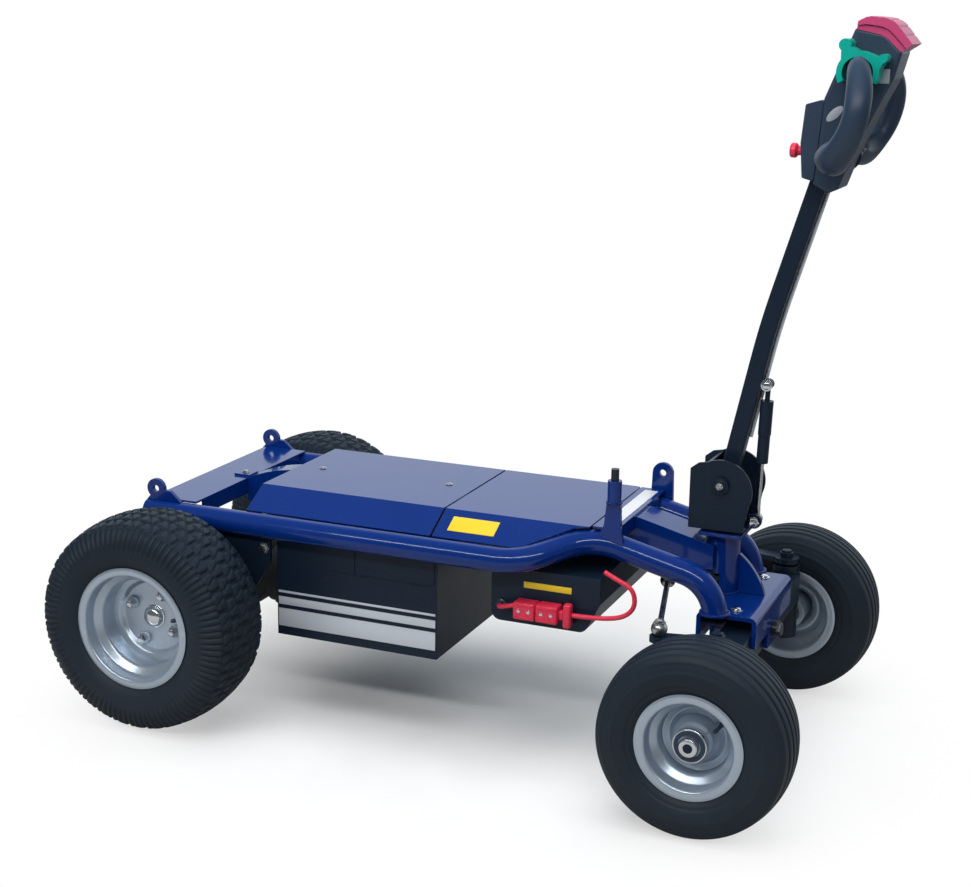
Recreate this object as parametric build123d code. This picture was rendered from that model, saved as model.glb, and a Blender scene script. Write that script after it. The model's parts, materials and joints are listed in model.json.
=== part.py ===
"""Electric material trolley: chassis, parallelogram steering, tilting tiller and four wheels.

Millimetres, +X forward (tiller end), +Y left, +Z up, origin on the floor under the middle.
"""
import math
import os

from build123d import *

# Seats and running clearances
SEAT = 0.25
RUN = 0.3

# Wheels: the table below holds the two kinds, left and right are mirrored
REAR_AXLE_X = -532
FRONT_AXLE_X = 520
REAR_TRACK_HALF = 335
FRONT_TRACK_HALF = 350
REAR_R = 203
REAR_SECTION = 101.4
FRONT_R = 165
FRONT_SECTION = 88.8
# Lugs of the rear tread: rows as (place across, turn in pitches)
LUG_PITCHES = 32
LUG_HIGH = 5
LUG_LONG = 30
LUG_WIDE = 21
LUG_ROWS = [(-54, 0), (-27, 0.5), (0, 0), (27, 0.5), (54, 0)]
STUB_R = 12.5
SHAFT_R = 15
AXLE_TUBE_R = 24
SIDES = {"right": -1, "left": 1}

# Side tubes, as corner points of the centre line on the left side
TUBE_R = 22.5
TUBE_Y = 219
TUBE_Z = 371
TUBE_IN_Y = 130
TUBE_REAR_X = -611
TUBE_POINTS = [
    (TUBE_REAR_X, TUBE_Y, TUBE_Z),
    (150, TUBE_Y, TUBE_Z),
    (256, TUBE_IN_Y, 407),
    (472, TUBE_IN_Y, 355),
    (483, TUBE_IN_Y, 296),
]
TUBE_BENDS = [110, 110, 75]

# Front channel and axle
CHANNEL_X = (450, 557)
CHANNEL_HALF_Y = 131
CHANNEL_WALL = 8
CHANNEL_BEND = 12
PIVOT_Z = FRONT_R + 75
PIVOT_R = 10
CHANNEL_TOP = PIVOT_Z + 60
CHANNEL_LOW = PIVOT_Z + 5
BEAM_HALF_X = 28
BEAM_Z = (PIVOT_Z - 28, PIVOT_Z + 28)
KING_Y = FRONT_TRACK_HALF - 100
KING_R = 12.5
BOSS_R = 26
BOSS_Z = (FRONT_R + 35, FRONT_R + 118)

# Steering: every arm has the same offset, so the rods only translate
COLUMN_X = 459
COLUMN_R = 31
COLUMN_BORE = 26.5
COLUMN_TOP = 412
FLANGE_TOP = 418
FLANGE_X = (424, 502)
RIB_HALF_Y = 5
RIB_DROP = 25.75
ARM_BACK = 95
ARM_SIDE = 20
ARM_HALF = 16
KNUCKLE_ARM_Z = (BOSS_Z[1] + 4, BOSS_Z[1] + 14)
ROD_Z = KNUCKLE_ARM_Z[1] + 12
PITMAN_Z = (ROD_Z + 12, ROD_Z + 22)
ROD_R = 5
EYE_R = 14
EYE_HALF = 10.5
BALL_STUD_R = 6

# Steering housing and tiller
HOUSING_C = (461, 496)
HOUSING_R = 56
HOUSING_HALF_Y = 50
HOUSING_PLATE = 5
HOUSING_FLOOR = 424
TILT_X = 461
TILT_Z = 507
TILT_PIN_R = 8
HUB_R = 22
HUB_HALF_Y = 40
TILLER_SIDE = 30
TILLER_POINTS = [(464, 0, 520), (520, 0, 790), (594, 0, 1046)]
TILLER_BEND = 1500

# Gas spring, from the tiller's stud down to the housing's arm
GAS_TOP = (524, 0, 685)
GAS_LOW = (517, 0, 441)
GAS_R = 10.5
GAS_SLEEVE_R = 11.5
GAS_SLEEVE_END = 91
GAS_ROD_R = 4
GAS_EYE_R = 9
GAS_EYE_HALF = 5
GAS_STUD_R = 5
GAS_START = 30
GAS_END = 142
GAS_GRIP = 22
GAS_FERRULE = 18

# Control head
HEAD_HALF_Y = 42
HEAD_ROUND = 6
SWITCH_HALF_Y = 38
GRIP_Y = 158
GRIP_TOP = (657, 1220)
GRIP_R = 19
PADDLE_OUT = 40

# Covers and boxes
COVER_TOP = 430
COVER_T = 3
COVER_FLAT_Y = 146
COVER_EDGE_Y = 209
COVER_EDGE_Z = 392.2
COVER_SEAM_X = -23
COVER_GAP = 4
BATTERY_X = (-343, -14)
BATTERY_HALF_Y = 200
BATTERY_Z = (156, 361)
BATTERY_WALL = 4
GROOVE_DEPTH = 1.5
# Panel joints on the box's sides, as (x range, z range)
BATTERY_GROOVES = [((-225, -20), (293.5, 296.5)), ((-181.5, -178.5), (298, 345)), ((-20, -17), (298, 345))]
ELECTRONICS_HALF_Y = 180
COVER_X = (-401, 254)
PLATE_X = (-602, -508)
PLATE_T = 4
PLATE_LIP = 28
ARCH_HALF_Y = 24
ARCH_LOW = 352
ARCH_T = 4
FRONT_BAR_X = (258, 304)
FRONT_BAR_HALF_Y = 141
NECK_X = 225
NECK_Y = 40
NECK_T = 5
NECK_LOW = 347
NECK_TIP = 391
LUG_HOLE_R = 6.5
LUG_T = 8
REAR_LUG = (-591, 416)
REAR_LUG_R = 19
FRONT_LUG = (298, 463)
FRONT_LUG_R = 20
FRONT_LUG_FOOT = 396
PIN_Z = (481, 520, 541)
PIN_R = 7
PIN_SHANK_R = 6
SLEEVE_R = 12.5
LEAD_R = 4.25


def bent_path(points, radii):
    """A line of straight runs joined by tangent arcs.

    Args:
        points: corner points of the centre line.
        radii: bend radius at each inner corner.
    Returns:
        The path as one wire.
    """
    corners = [Vector(*p) for p in points]
    edges = []
    start = corners[0]
    for here, after, before, radius in zip(corners[1:-1], corners[2:], corners[:-2], radii):
        back = (before - here).normalized()
        ahead = (after - here).normalized()
        half = math.acos(max(-1, min(1, back.dot(ahead)))) / 2
        run = radius / math.tan(half)
        middle = (back + ahead).normalized()
        nearest = here + middle * (radius / math.sin(half) - radius)
        edges.append(Edge.make_line(start, here + back * run))
        edges.append(Edge.make_three_point_arc(here + back * run, nearest, here + ahead * run))
        start = here + ahead * run
    edges.append(Edge.make_line(start, corners[-1]))
    return Wire(edges)


def along(path, section):
    """Sweeps a flat section, drawn about the origin, along a path."""
    place = Plane(origin=path @ 0, z_dir=path % 0)
    return sweep(place * section, path=path)


def slab(points, y_low, y_high, round_r=0):
    """A plate drawn by XZ points, between two Y values."""
    face = make_face(Polyline(*points, close=True))
    if round_r:
        face = fillet(face.vertices(), round_r)
    place = Plane(origin=(0, y_high, 0), x_dir=(1, 0, 0), z_dir=(0, -1, 0))
    return extrude(place * face, amount=y_high - y_low)


def deck(points, z_low, z_high):
    """A plate drawn by XY points, between two Z values."""
    return Pos(0, 0, z_low) * extrude(make_face(Polyline(*points, close=True)), amount=z_high - z_low)


def block(xs, ys, zs):
    """A box between two corners, given as pairs."""
    size = [b - a for a, b in (xs, ys, zs)]
    middle = [(a + b) / 2 for a, b in (xs, ys, zs)]
    return Pos(*middle) * Box(*size)


def rod(start, end, radius):
    """A round bar between two points."""
    a = Vector(*start)
    d = Vector(*end) - a
    return extrude(Plane(origin=a, z_dir=d) * Circle(radius), amount=d.length)


def mirrored(shape):
    """The same piece on the other side of the middle plane."""
    return mirror(shape, about=Plane.XZ)


def spun(points):
    """A ring or disc from (radius, y) points turned about the Y axis."""
    return revolve(make_face(Polyline(*points, close=True)), Axis.Y)


# Wheels
REAR_SEAT_R = REAR_R - REAR_SECTION
FRONT_SEAT_R = FRONT_R - FRONT_SECTION
REAR_TYRE = dict(r=REAR_R, half=82.5, tread=68, drop=9, seat=REAR_SEAT_R, mid=REAR_SEAT_R + 50,
                 flange=REAR_SEAT_R + 13.4, well=REAR_SEAT_R - 15.6, rim=72, wall=12, lug=LUG_HIGH)
FRONT_TYRE = dict(r=FRONT_R, half=62.5, tread=50, drop=7, seat=FRONT_SEAT_R, mid=FRONT_SEAT_R + 48,
                  flange=FRONT_SEAT_R + 14.8, well=FRONT_SEAT_R - 14.2, rim=55, wall=10, lug=0)


def tread_lugs(t):
    """Flat blocks in staggered rows round a tyre, each row leaning with the crown."""
    crown_r = (t["tread"] ** 2 + t["drop"] ** 2) / (2 * t["drop"])
    deep = t["lug"] + 6
    corner_rise = (LUG_WIDE**2 / crown_r + LUG_LONG**2 / t["r"]) / 8
    lugs = []
    for y, turn in LUG_ROWS:
        lean = Pos(t["r"] - crown_r, 0, 0) * Rot(0, 0, math.degrees(y / crown_r))
        top = crown_r - (corner_rise if y else 0)
        lug = lean * Pos(top - deep / 2, 0, 0) * Box(deep, LUG_WIDE, LUG_LONG)
        lugs += [Rot(0, (k + turn) * 360 / LUG_PITCHES, 0) * lug for k in range(LUG_PITCHES)]
    return lugs


def tyre(t, grooves=()):
    """A tyre as an open ring about the Y axis, beads seated on the rim."""
    heel = t["rim"] - 3 - SEAT
    lip = t["flange"] + 2
    carcass = t["r"] - t["lug"]
    shoulder = carcass - t["drop"]
    seat = t["seat"] + SEAT
    inner_half = t["half"] - t["wall"]
    inner_top = t["r"] - t["wall"] - 3
    crown = (inner_top - t["drop"], t["tread"] - 8)
    crown_back = (crown[0], -crown[1])
    outline = Curve() + [
        Line((seat, heel), (lip, heel)),
        ThreePointArc((lip, heel), (t["mid"], t["half"]), (shoulder, t["tread"])),
        ThreePointArc((shoulder, t["tread"]), (carcass, 0), (shoulder, -t["tread"])),
        ThreePointArc((shoulder, -t["tread"]), (t["mid"], -t["half"]), (lip, -heel)),
        Line((lip, -heel), (seat, -heel)),
        Line((seat, -heel), (seat, 14 - heel)),
        ThreePointArc((seat, 14 - heel), (t["mid"], -inner_half), crown_back),
        ThreePointArc(crown_back, (inner_top, 0), crown),
        ThreePointArc(crown, (t["mid"], inner_half), (seat, heel - 14)),
        Line((seat, heel - 14), (seat, heel)),
    ]
    ring = revolve(make_face(outline), Axis.Y)
    for y, width, depth in grooves:
        low, high = t["r"] - depth, t["r"] + 5
        y0, y1 = y - width / 2, y + width / 2
        ring -= spun([(low, y0), (high, y0), (high, y1), (low, y1)])
    if t["lug"]:
        ring += tread_lugs(t)
    return ring


def rim_points(t, disc, disc_t):
    """The rim's section down to the disc, as two runs of (radius, y) points."""
    h = t["rim"]
    s = t["seat"]
    f = t["flange"]
    well = t["well"]
    shell = 3
    inside = [(well - shell, h - 36), (s - shell, h - 26), (s - shell, h), (f, h)]
    outer = [(f, h - shell), (s, h - shell), (s, h - 24), (well, h - 34)]
    front = inside + outer
    back = [(r, -y) for r, y in front]
    return [(well - shell, disc - disc_t)] + back + front[::-1] + [(well - shell, disc)]


def rear_wheel_rim():
    """Deep dished rim with its flat disc, hub cap and the half shaft that runs into the axle tube."""
    lip = REAR_TYRE["well"] - 21
    face = [(lip + 3, -2), (lip, -7), (22, -7), (20, 4), (12, 9), (0, 10)]
    shaft_end = [(0, -120), (SHAFT_R, -120), (SHAFT_R, -70), (34, -66), (34, -12), (lip + 2, -12)]
    return spun(rim_points(REAR_TYRE, 3, 5) + face + shaft_end)


def front_wheel_rim():
    """Rim with a bearing hub that runs on the stub axle."""
    bore = STUB_R + RUN
    dish = FRONT_TYRE["well"] - 14
    front_cone = [(dish, -3), (dish - 9, 4), (31, 24), (29, 45), (bore, 45)]
    back_cone = [(bore, -45), (29, -45), (29, 6), (dish - 9, -4), (dish, -9)]
    return spun(rim_points(FRONT_TYRE, 4, 6) + front_cone + back_cone)


RIB_GROOVES = [(y, 5, 7) for y in (-36, -18, 0, 18, 36)]
WHEELS = [
    ("rear", REAR_AXLE_X, REAR_TRACK_HALF, REAR_R, tyre(REAR_TYRE), rear_wheel_rim()),
    ("front", FRONT_AXLE_X, FRONT_TRACK_HALF, FRONT_R, tyre(FRONT_TYRE, RIB_GROOVES), front_wheel_rim()),
]
parts = {}
for end, x, half, z, rubber, rim in WHEELS:
    parts[f"tyre_{end}_left"] = Pos(x, half, z) * rubber
    parts[f"rim_{end}_left"] = Pos(x, half, z) * rim
    parts[f"tyre_{end}_right"] = mirrored(parts[f"tyre_{end}_left"])
    parts[f"rim_{end}_right"] = mirrored(parts[f"rim_{end}_left"])

# Frame
tube_path = bent_path(TUBE_POINTS, TUBE_BENDS)
floor_cut = block((400, 600), (50, 250), (200, CHANNEL_TOP + SEAT))
tube = along(tube_path, Circle(TUBE_R)) - floor_cut
tube_room = along(tube_path, Circle(TUBE_R + SEAT))
parts["side_tubes"] = Compound(children=[tube.solid(), mirrored(tube).solid()])

lug_x, lug_z = REAR_LUG
tube_top = TUBE_Z + TUBE_R + SEAT
lug_hole = rod((lug_x, TUBE_Y - 20, lug_z), (lug_x, TUBE_Y + 20, lug_z), LUG_HOLE_R)
lug_ys = (TUBE_Y - LUG_T / 2, TUBE_Y + LUG_T / 2)
foot_x = (lug_x - 20, lug_x + 55)
rear_line = [(foot_x[0], tube_top), (foot_x[1], tube_top), (lug_x + 31, lug_z - 2), (lug_x, lug_z)]
rear_lug = slab(rear_line, *lug_ys)
rear_lug += rod((lug_x, lug_ys[0], lug_z), (lug_x, lug_ys[1], lug_z), REAR_LUG_R)
rear_lug -= lug_hole
parts["rear_lugs"] = Compound(children=[rear_lug.solid(), mirrored(rear_lug).solid()])

plate_half = TUBE_Y - LUG_T / 2 - SEAT
plate_top = tube_top + PLATE_T
lip_half = TUBE_Y - TUBE_R - 8
cross_plate = block(PLATE_X, (-plate_half, plate_half), (tube_top, plate_top))
lip_x = (PLATE_X[1] - PLATE_T, PLATE_X[1])
cross_plate += block(lip_x, (-lip_half, lip_half), (tube_top - PLATE_LIP, tube_top))
cross_plate += block((PLATE_X[1] - 34, PLATE_X[1]), (-17, 17), (plate_top, plate_top + PLATE_T))
parts["rear_cross_plate"] = cross_plate

arch_start = (PLATE_X[1] + SEAT, plate_top)
arch_end = (COVER_X[0] + 21, COVER_TOP - COVER_T - SEAT)
arch_run, arch_rise = arch_end[0] - arch_start[0], arch_end[1] - arch_start[1]
arch_bend = (arch_run**2 + arch_rise**2) / (2 * arch_rise)
arch_sink = arch_bend - math.sqrt(arch_bend**2 - arch_run**2 / 4)
arch_middle = (arch_end[0] - arch_run / 2, arch_end[1] - arch_sink)
arch_rim = Curve() + [ThreePointArc(arch_start, arch_middle, arch_end)]
arch_foot = [(arch_end[0], ARCH_LOW), (arch_start[0], ARCH_LOW)]
arch_face = make_face(arch_rim + [Polyline(arch_end, *arch_foot, arch_start)])
arch_plane = Plane(origin=(0, ARCH_HALF_Y, 0), x_dir=(1, 0, 0), z_dir=(0, -1, 0))
arch_bulk = extrude(arch_plane * arch_face, amount=2 * ARCH_HALF_Y)
arch_between = block((-600, -300), (ARCH_T - ARCH_HALF_Y, ARCH_HALF_Y - ARCH_T), (200, 500))
parts["arch_plate"] = arch_bulk - (Pos(0, 0, -ARCH_T) * arch_bulk & arch_between)

bar_low = COVER_TOP - COVER_T
bar = block(FRONT_BAR_X, (-FRONT_BAR_HALF_Y, FRONT_BAR_HALF_Y), (bar_low, COVER_TOP + 1))
bar += block((FRONT_BAR_X[1] - 4, FRONT_BAR_X[1]), (-104, 104), (404, bar_low))
fx, fz = FRONT_LUG
lug_in = FRONT_BAR_HALF_Y + 1
lug_foot = [(fx - FRONT_LUG_R - 2, FRONT_LUG_FOOT), (fx + FRONT_LUG_R + 2, FRONT_LUG_FOOT)]
front_lug = slab(lug_foot + [(fx + FRONT_LUG_R, fz), (fx - FRONT_LUG_R, fz)], lug_in, lug_in + LUG_T)
round_lug = front_lug + rod((fx, lug_in, fz), (fx, lug_in + LUG_T, fz), FRONT_LUG_R) - tube_room
round_lug -= rod((fx, lug_in - 5, fz), (fx, lug_in + 20, fz), LUG_HOLE_R)
PIN_Y = lug_in + LUG_T / 2
sleeve = rod((fx, PIN_Y, PIN_Z[0] - 1), (fx, PIN_Y, PIN_Z[1]), SLEEVE_R)
waist_z = (FRONT_LUG_FOOT + PIN_Z[0]) / 2
tall_foot = [(fx - FRONT_LUG_R - 14, FRONT_LUG_FOOT), (fx + FRONT_LUG_R + 2, FRONT_LUG_FOOT)]
tall_side = [(fx + SLEEVE_R + 2, waist_z), (fx + SLEEVE_R, PIN_Z[0])]
tall_side += [(fx - SLEEVE_R, PIN_Z[0]), (fx - SLEEVE_R - 4, waist_z)]
tall_lug = slab(tall_foot + tall_side, lug_in, lug_in + LUG_T) - tube_room
tall_lug = tall_lug + sleeve - rod((fx, PIN_Y, PIN_Z[0] + 9), (fx, PIN_Y, PIN_Z[1] + 10), PIN_SHANK_R + SEAT)
parts["front_lugs"] = Compound(children=[round_lug.solid(), mirrored(tall_lug).solid()])
pin_low = PIN_Z[1] + SEAT
pin = rod((fx, PIN_Y, pin_low), (fx, PIN_Y, PIN_Z[2]), PIN_R)
pin += rod((fx, PIN_Y, PIN_Z[0] + 10), (fx, PIN_Y, pin_low + 1), PIN_SHANK_R)
parts["lock_pin"] = mirrored(pin)

neck_end = COLUMN_X - 8
neck_top = bar_low - 2 * SEAT
neck_out = [(NECK_X, NECK_LOW), (neck_end, NECK_LOW), (neck_end, NECK_TIP)]
neck_out += [(NECK_X + 85, neck_top), (NECK_X, neck_top)]
neck_bulk = slab(neck_out, -NECK_Y, NECK_Y)
neck_room = Pos(0, 0, -NECK_T) * slab(neck_out, NECK_T - NECK_Y, NECK_Y - NECK_T)
neck = neck_bulk - neck_room - Pos(-NECK_T, 0, 0) * neck_room
neck -= rod((COLUMN_X, 0, NECK_LOW - 50), (COLUMN_X, 0, NECK_TIP + 50), COLUMN_R + SEAT)
bar -= block((NECK_X - 5, NECK_X + 95), (-NECK_Y - SEAT, NECK_Y + SEAT), (bar_low - 30, bar_low))
parts["front_cross_bar"] = bar
parts["neck"] = neck

column = rod((COLUMN_X, 0, CHANNEL_TOP + SEAT), (COLUMN_X, 0, COLUMN_TOP), COLUMN_R)
column += block(FLANGE_X, (-HOUSING_HALF_Y, HOUSING_HALF_Y), (COLUMN_TOP, FLANGE_TOP))
column -= rod((COLUMN_X, 0, CHANNEL_TOP + 12), (COLUMN_X, 0, COLUMN_TOP - 16), COLUMN_BORE)
column -= rod((COLUMN_X, 0, CHANNEL_TOP - 10), (COLUMN_X, 0, FLANGE_TOP + 12), SHAFT_R + RUN)
column -= block((COLUMN_X - 40, COLUMN_X + 3), (-40, 40), (PITMAN_Z[0] - 7, PITMAN_Z[1] + 7))
parts["column_tube"] = column

cx0, cx1 = CHANNEL_X
rib_low = CHANNEL_TOP + SEAT
rib_top = (COLUMN_X + 8, COLUMN_TOP - RIB_DROP)
rib_toe = (cx1 - 18, rib_low)
rib_curve = Curve() + [ThreePointArc(rib_top, (COLUMN_X + 58, rib_low + 45), rib_toe)]
rib_face = make_face(rib_curve + [Polyline(rib_toe, (rib_top[0], rib_low), rib_top)])
rib_plane = Plane(origin=(0, RIB_HALF_Y, 0), x_dir=(1, 0, 0), z_dir=(0, -1, 0))
rib = extrude(rib_plane * rib_face, amount=2 * RIB_HALF_Y)
parts["column_rib"] = rib - rod((COLUMN_X, 0, rib_low - 20), (COLUMN_X, 0, FLANGE_TOP), COLUMN_R + SEAT)

cw = CHANNEL_WALL
channel = block(CHANNEL_X, (-CHANNEL_HALF_Y, CHANNEL_HALF_Y), (CHANNEL_LOW, CHANNEL_TOP))
channel += block(CHANNEL_X, (-36, 36), (PIVOT_Z - 26, CHANNEL_LOW))
channel = fillet(channel.edges().filter_by(Axis.Y).group_by(Axis.Z)[-1], CHANNEL_BEND)
hollow = block((cx0 + cw, cx1 - cw), (-CHANNEL_HALF_Y - 20, CHANNEL_HALF_Y + 20), (100, CHANNEL_TOP - cw))
channel -= fillet(hollow.edges().filter_by(Axis.Y).group_by(Axis.Z)[-1], CHANNEL_BEND - cw)
pivot_hole = rod((cx0 - 50, 0, PIVOT_Z), (cx1 + 40, 0, PIVOT_Z), PIVOT_R + SEAT)
parts["axle_channel"] = channel - pivot_hole
pivot = rod((cx0 - 8, 0, PIVOT_Z), (cx1 + 14, 0, PIVOT_Z), PIVOT_R)
parts["axle_pivot_bolt"] = pivot + rod((cx1 + SEAT, 0, PIVOT_Z), (cx1 + 9, 0, PIVOT_Z), 15)

beam = block((FRONT_AXLE_X - BEAM_HALF_X, FRONT_AXLE_X + BEAM_HALF_X), (-KING_Y, KING_Y), BEAM_Z) - pivot_hole
for s in SIDES.values():
    beam += rod((FRONT_AXLE_X, s * KING_Y, BOSS_Z[0]), (FRONT_AXLE_X, s * KING_Y, BOSS_Z[1]), BOSS_R)
    king_foot = (FRONT_AXLE_X, s * KING_Y, BOSS_Z[0] - 50)
    beam -= rod(king_foot, (FRONT_AXLE_X, s * KING_Y, BOSS_Z[1] + 20), KING_R + RUN)
parts["front_axle"] = beam

# Covers: one folded section, the front one trimmed to the inward bend of the tubes
slope = COVER_T * 1.1
section = [
    (-COVER_EDGE_Y, COVER_EDGE_Z),
    (-COVER_FLAT_Y, COVER_TOP - COVER_T),
    (COVER_FLAT_Y, COVER_TOP - COVER_T),
    (COVER_EDGE_Y, COVER_EDGE_Z),
    (COVER_EDGE_Y + 2, COVER_EDGE_Z + 2.5),
    (COVER_FLAT_Y + 1, COVER_TOP),
    (-COVER_FLAT_Y - 1, COVER_TOP),
    (-COVER_EDGE_Y - 2, COVER_EDGE_Z + 2.5),
]


def cover(x_low, x_high):
    """A length of the folded cover section."""
    face = make_face(Polyline(*section, close=True))
    place = Plane(origin=(x_low, 0, 0), x_dir=(0, 1, 0), z_dir=(1, 0, 0))
    return extrude(place * face, amount=x_high - x_low)


front_outline = [(-50, -230), (120, -230), (170, -192), (230, -151), (262, -143)]
front_plan = front_outline + [(x, -y) for x, y in reversed(front_outline)]
parts["cover_rear"] = cover(COVER_X[0], COVER_SEAM_X - COVER_GAP / 2)
front_cover = cover(COVER_SEAM_X + COVER_GAP / 2, COVER_X[1]) & deck(front_plan, 300, 500)
parts["cover_front"] = front_cover - tube_room - mirrored(tube_room)

# Boxes under the frame
bx, bz, bw = BATTERY_X, BATTERY_Z, BATTERY_WALL
shell = block(bx, (-BATTERY_HALF_Y, BATTERY_HALF_Y), bz)
inner_y = BATTERY_HALF_Y - bw
shell -= block((bx[0] + bw, bx[1] - bw), (-inner_y, inner_y), (bz[0] + bw, bz[1] + 10))
parts["battery_box"] = shell - tube_room - mirrored(tube_room)
groove_in = BATTERY_HALF_Y - GROOVE_DEPTH
for gx_pair, gz_pair in BATTERY_GROOVES:
    parts["battery_box"] -= block(gx_pair, (groove_in, BATTERY_HALF_Y + 5), gz_pair)
    parts["battery_box"] -= block(gx_pair, (-BATTERY_HALF_Y - 5, -groove_in), gz_pair)
cell_y = inner_y - 8
cell_x = (bx[0] + bw + 6, bx[1] - bw - 6)
parts["battery_block"] = block(cell_x, (-cell_y, cell_y), (bz[0] + bw + SEAT, bz[1] - 36))
box_top = NECK_LOW - SEAT
box_line = [(84, box_top), (84, 245), (262, 245), (289, 300), (289, box_top)]
electronics = slab(box_line, -ELECTRONICS_HALF_Y, ELECTRONICS_HALF_Y)
parts["electronics_box"] = fillet(electronics.edges().filter_by(Axis.Y).group_by(Axis.Z)[0], 18)

face_y = -ELECTRONICS_HALF_Y - SEAT
connector = block((137, 220), (face_y - 30, face_y), (262, 294))
connector += block((220, 228), (face_y - 22, face_y - 8), (270, 286))
connector += block((228, 243), (face_y - 24, face_y - 6), (256, 300))
parts["power_connector"] = connector - block((177.5, 179.5), (face_y - 40, face_y - 24), (250, 300))

# Rear drive
tube_in = SHAFT_R + RUN
drive = rod((REAR_AXLE_X, -262, REAR_R), (REAR_AXLE_X, 262, REAR_R), AXLE_TUBE_R)
drive += rod((REAR_AXLE_X, -48, REAR_R), (REAR_AXLE_X, 48, REAR_R), 78)
for s in SIDES.values():
    drive -= rod((REAR_AXLE_X, s * 205, REAR_R), (REAR_AXLE_X, s * 300, REAR_R), tube_in)
parts["rear_axle"] = drive
parts["drive_motor"] = rod((REAR_AXLE_X + 78 + SEAT, 0, REAR_R), (BATTERY_X[0] - 8, 0, REAR_R), 58)
ax, top_z, low_z = REAR_AXLE_X, TUBE_Z - 13, REAR_R - 33
bracket_line = [(ax + 182, top_z), (ax + 182, top_z - 58), (ax + 155, top_z - 104)]
bracket_line += [(ax + 42, low_z), (ax - 48, low_z), (ax - 74, top_z)]
bracket = slab(bracket_line, 207, 215)
bracket -= rod((REAR_AXLE_X, 200, REAR_R), (REAR_AXLE_X, 220, REAR_R), AXLE_TUBE_R + SEAT)
bracket -= tube_room
parts["axle_brackets"] = Compound(children=[bracket.solid(), mirrored(bracket).solid()])

# Steering: shaft with its arm, knuckles and rods
shaft = rod((COLUMN_X, 0, CHANNEL_TOP + 4), (COLUMN_X, 0, HOUSING_FLOOR - SEAT), SHAFT_R)
arm = [(4, 20), (-66, 15), (-80, 33), (-109, 33), (-109, -33), (-80, -33), (-66, -15), (4, -20)]
shaft += Pos(COLUMN_X, 0, 0) * deck(arm, *PITMAN_Z)
shaft += rod((COLUMN_X, 0, PITMAN_Z[0]), (COLUMN_X, 0, PITMAN_Z[1]), 21)
for s in SIDES.values():
    end_x = COLUMN_X - ARM_BACK
    shaft += rod((end_x, s * ARM_SIDE, ROD_Z - 10), (end_x, s * ARM_SIDE, PITMAN_Z[1] + 6), BALL_STUD_R)
parts["steering_shaft"] = shaft

for side, s in SIDES.items():
    king = (FRONT_AXLE_X, s * KING_Y)
    ball = (king[0] - ARM_BACK, king[1] + s * ARM_SIDE)
    k = rod((*king, FRONT_R), (*king, KNUCKLE_ARM_Z[1] + 8), KING_R)
    k += rod((*king, FRONT_R - 25), (*king, BOSS_Z[0] - 1), BOSS_R)
    k += rod((king[0], s * KING_Y, FRONT_R), (king[0], s * (FRONT_TRACK_HALF - 46), FRONT_R), 20)
    k += rod((king[0], s * KING_Y, FRONT_R), (king[0], s * (FRONT_TRACK_HALF + 55), FRONT_R), STUB_R)
    nut_ys = (s * (FRONT_TRACK_HALF + 46), s * (FRONT_TRACK_HALF + 53))
    k += rod((king[0], nut_ys[0], FRONT_R), (king[0], nut_ys[1], FRONT_R), 17)
    k += rod((*king, KNUCKLE_ARM_Z[0]), (*king, KNUCKLE_ARM_Z[1]), 24)
    k += rod((*ball, KNUCKLE_ARM_Z[0]), (*ball, KNUCKLE_ARM_Z[1]), ARM_HALF)
    arm_ends = [(king, -ARM_HALF), (king, ARM_HALF), (ball, ARM_HALF), (ball, -ARM_HALF)]
    k += deck([(x, y + s * side_step) for (x, y), side_step in arm_ends], *KNUCKLE_ARM_Z)
    k += rod((*ball, KNUCKLE_ARM_Z[0]), (*ball, ROD_Z + 10), BALL_STUD_R)
    parts[f"knuckle_{side}"] = k
    inner = (COLUMN_X - ARM_BACK, s * ARM_SIDE)
    link = rod((*ball, ROD_Z), (*inner, ROD_Z), ROD_R)
    band = block((0, 600), (-400, 400), (ROD_Z - EYE_HALF, ROD_Z + EYE_HALF))
    for x, y in (ball, inner):
        link += Pos(x, y, ROD_Z) * Sphere(EYE_R) & band
    for x, y in (ball, inner):
        link -= rod((x, y, ROD_Z - 20), (x, y, ROD_Z + 20), BALL_STUD_R + RUN)
    parts[f"tie_rod_{side}"] = link

# Steering housing: two plates, a floor, a rear wrap, the tilt pin and the gas spring's arm
hx, hz = HOUSING_C
plate_in = HOUSING_HALF_Y - HOUSING_PLATE
side_plate = rod((hx, plate_in, hz), (hx, HOUSING_HALF_Y, hz), HOUSING_R)
back_x = hx - HOUSING_R
toe_x = hx + 42
skirt = [(back_x, HOUSING_FLOOR), (toe_x, HOUSING_FLOOR), (hx + HOUSING_R, hz), (back_x, hz)]
side_plate += slab(skirt, plate_in, HOUSING_HALF_Y)
shoulder_line = [(hx, hz), (hx, hz + HOUSING_R - 1), (back_x + 14, hz + 47), (back_x, hz + 36), (back_x, hz)]
side_plate += slab(shoulder_line, plate_in, HOUSING_HALF_Y)
housing = side_plate + mirrored(side_plate)
housing += block((back_x, toe_x), (-HOUSING_HALF_Y, HOUSING_HALF_Y), (HOUSING_FLOOR, HOUSING_FLOOR + 6))
wrap = rod((hx, -plate_in - 1, hz), (hx, plate_in + 1, hz), HOUSING_R - 2)
wrap -= rod((hx, -plate_in - 5, hz), (hx, plate_in + 5, hz), HOUSING_R - 6)
wrap &= block((hx - 80, hx - 22), (-60, 60), (hz - 10, hz + 80))
housing += wrap
housing += block((hx - HOUSING_R, hx - HOUSING_R + 4), (-plate_in - 1, plate_in + 1), (HOUSING_FLOOR, hz - 9))
gx, _, gz = GAS_LOW
gas_arm = [(hx + 10, HOUSING_FLOOR), (gx, HOUSING_FLOOR + 4), (gx, gz + 13), (hx + 10, gz + 5)]
housing += slab(gas_arm, -24, -16)
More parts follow.
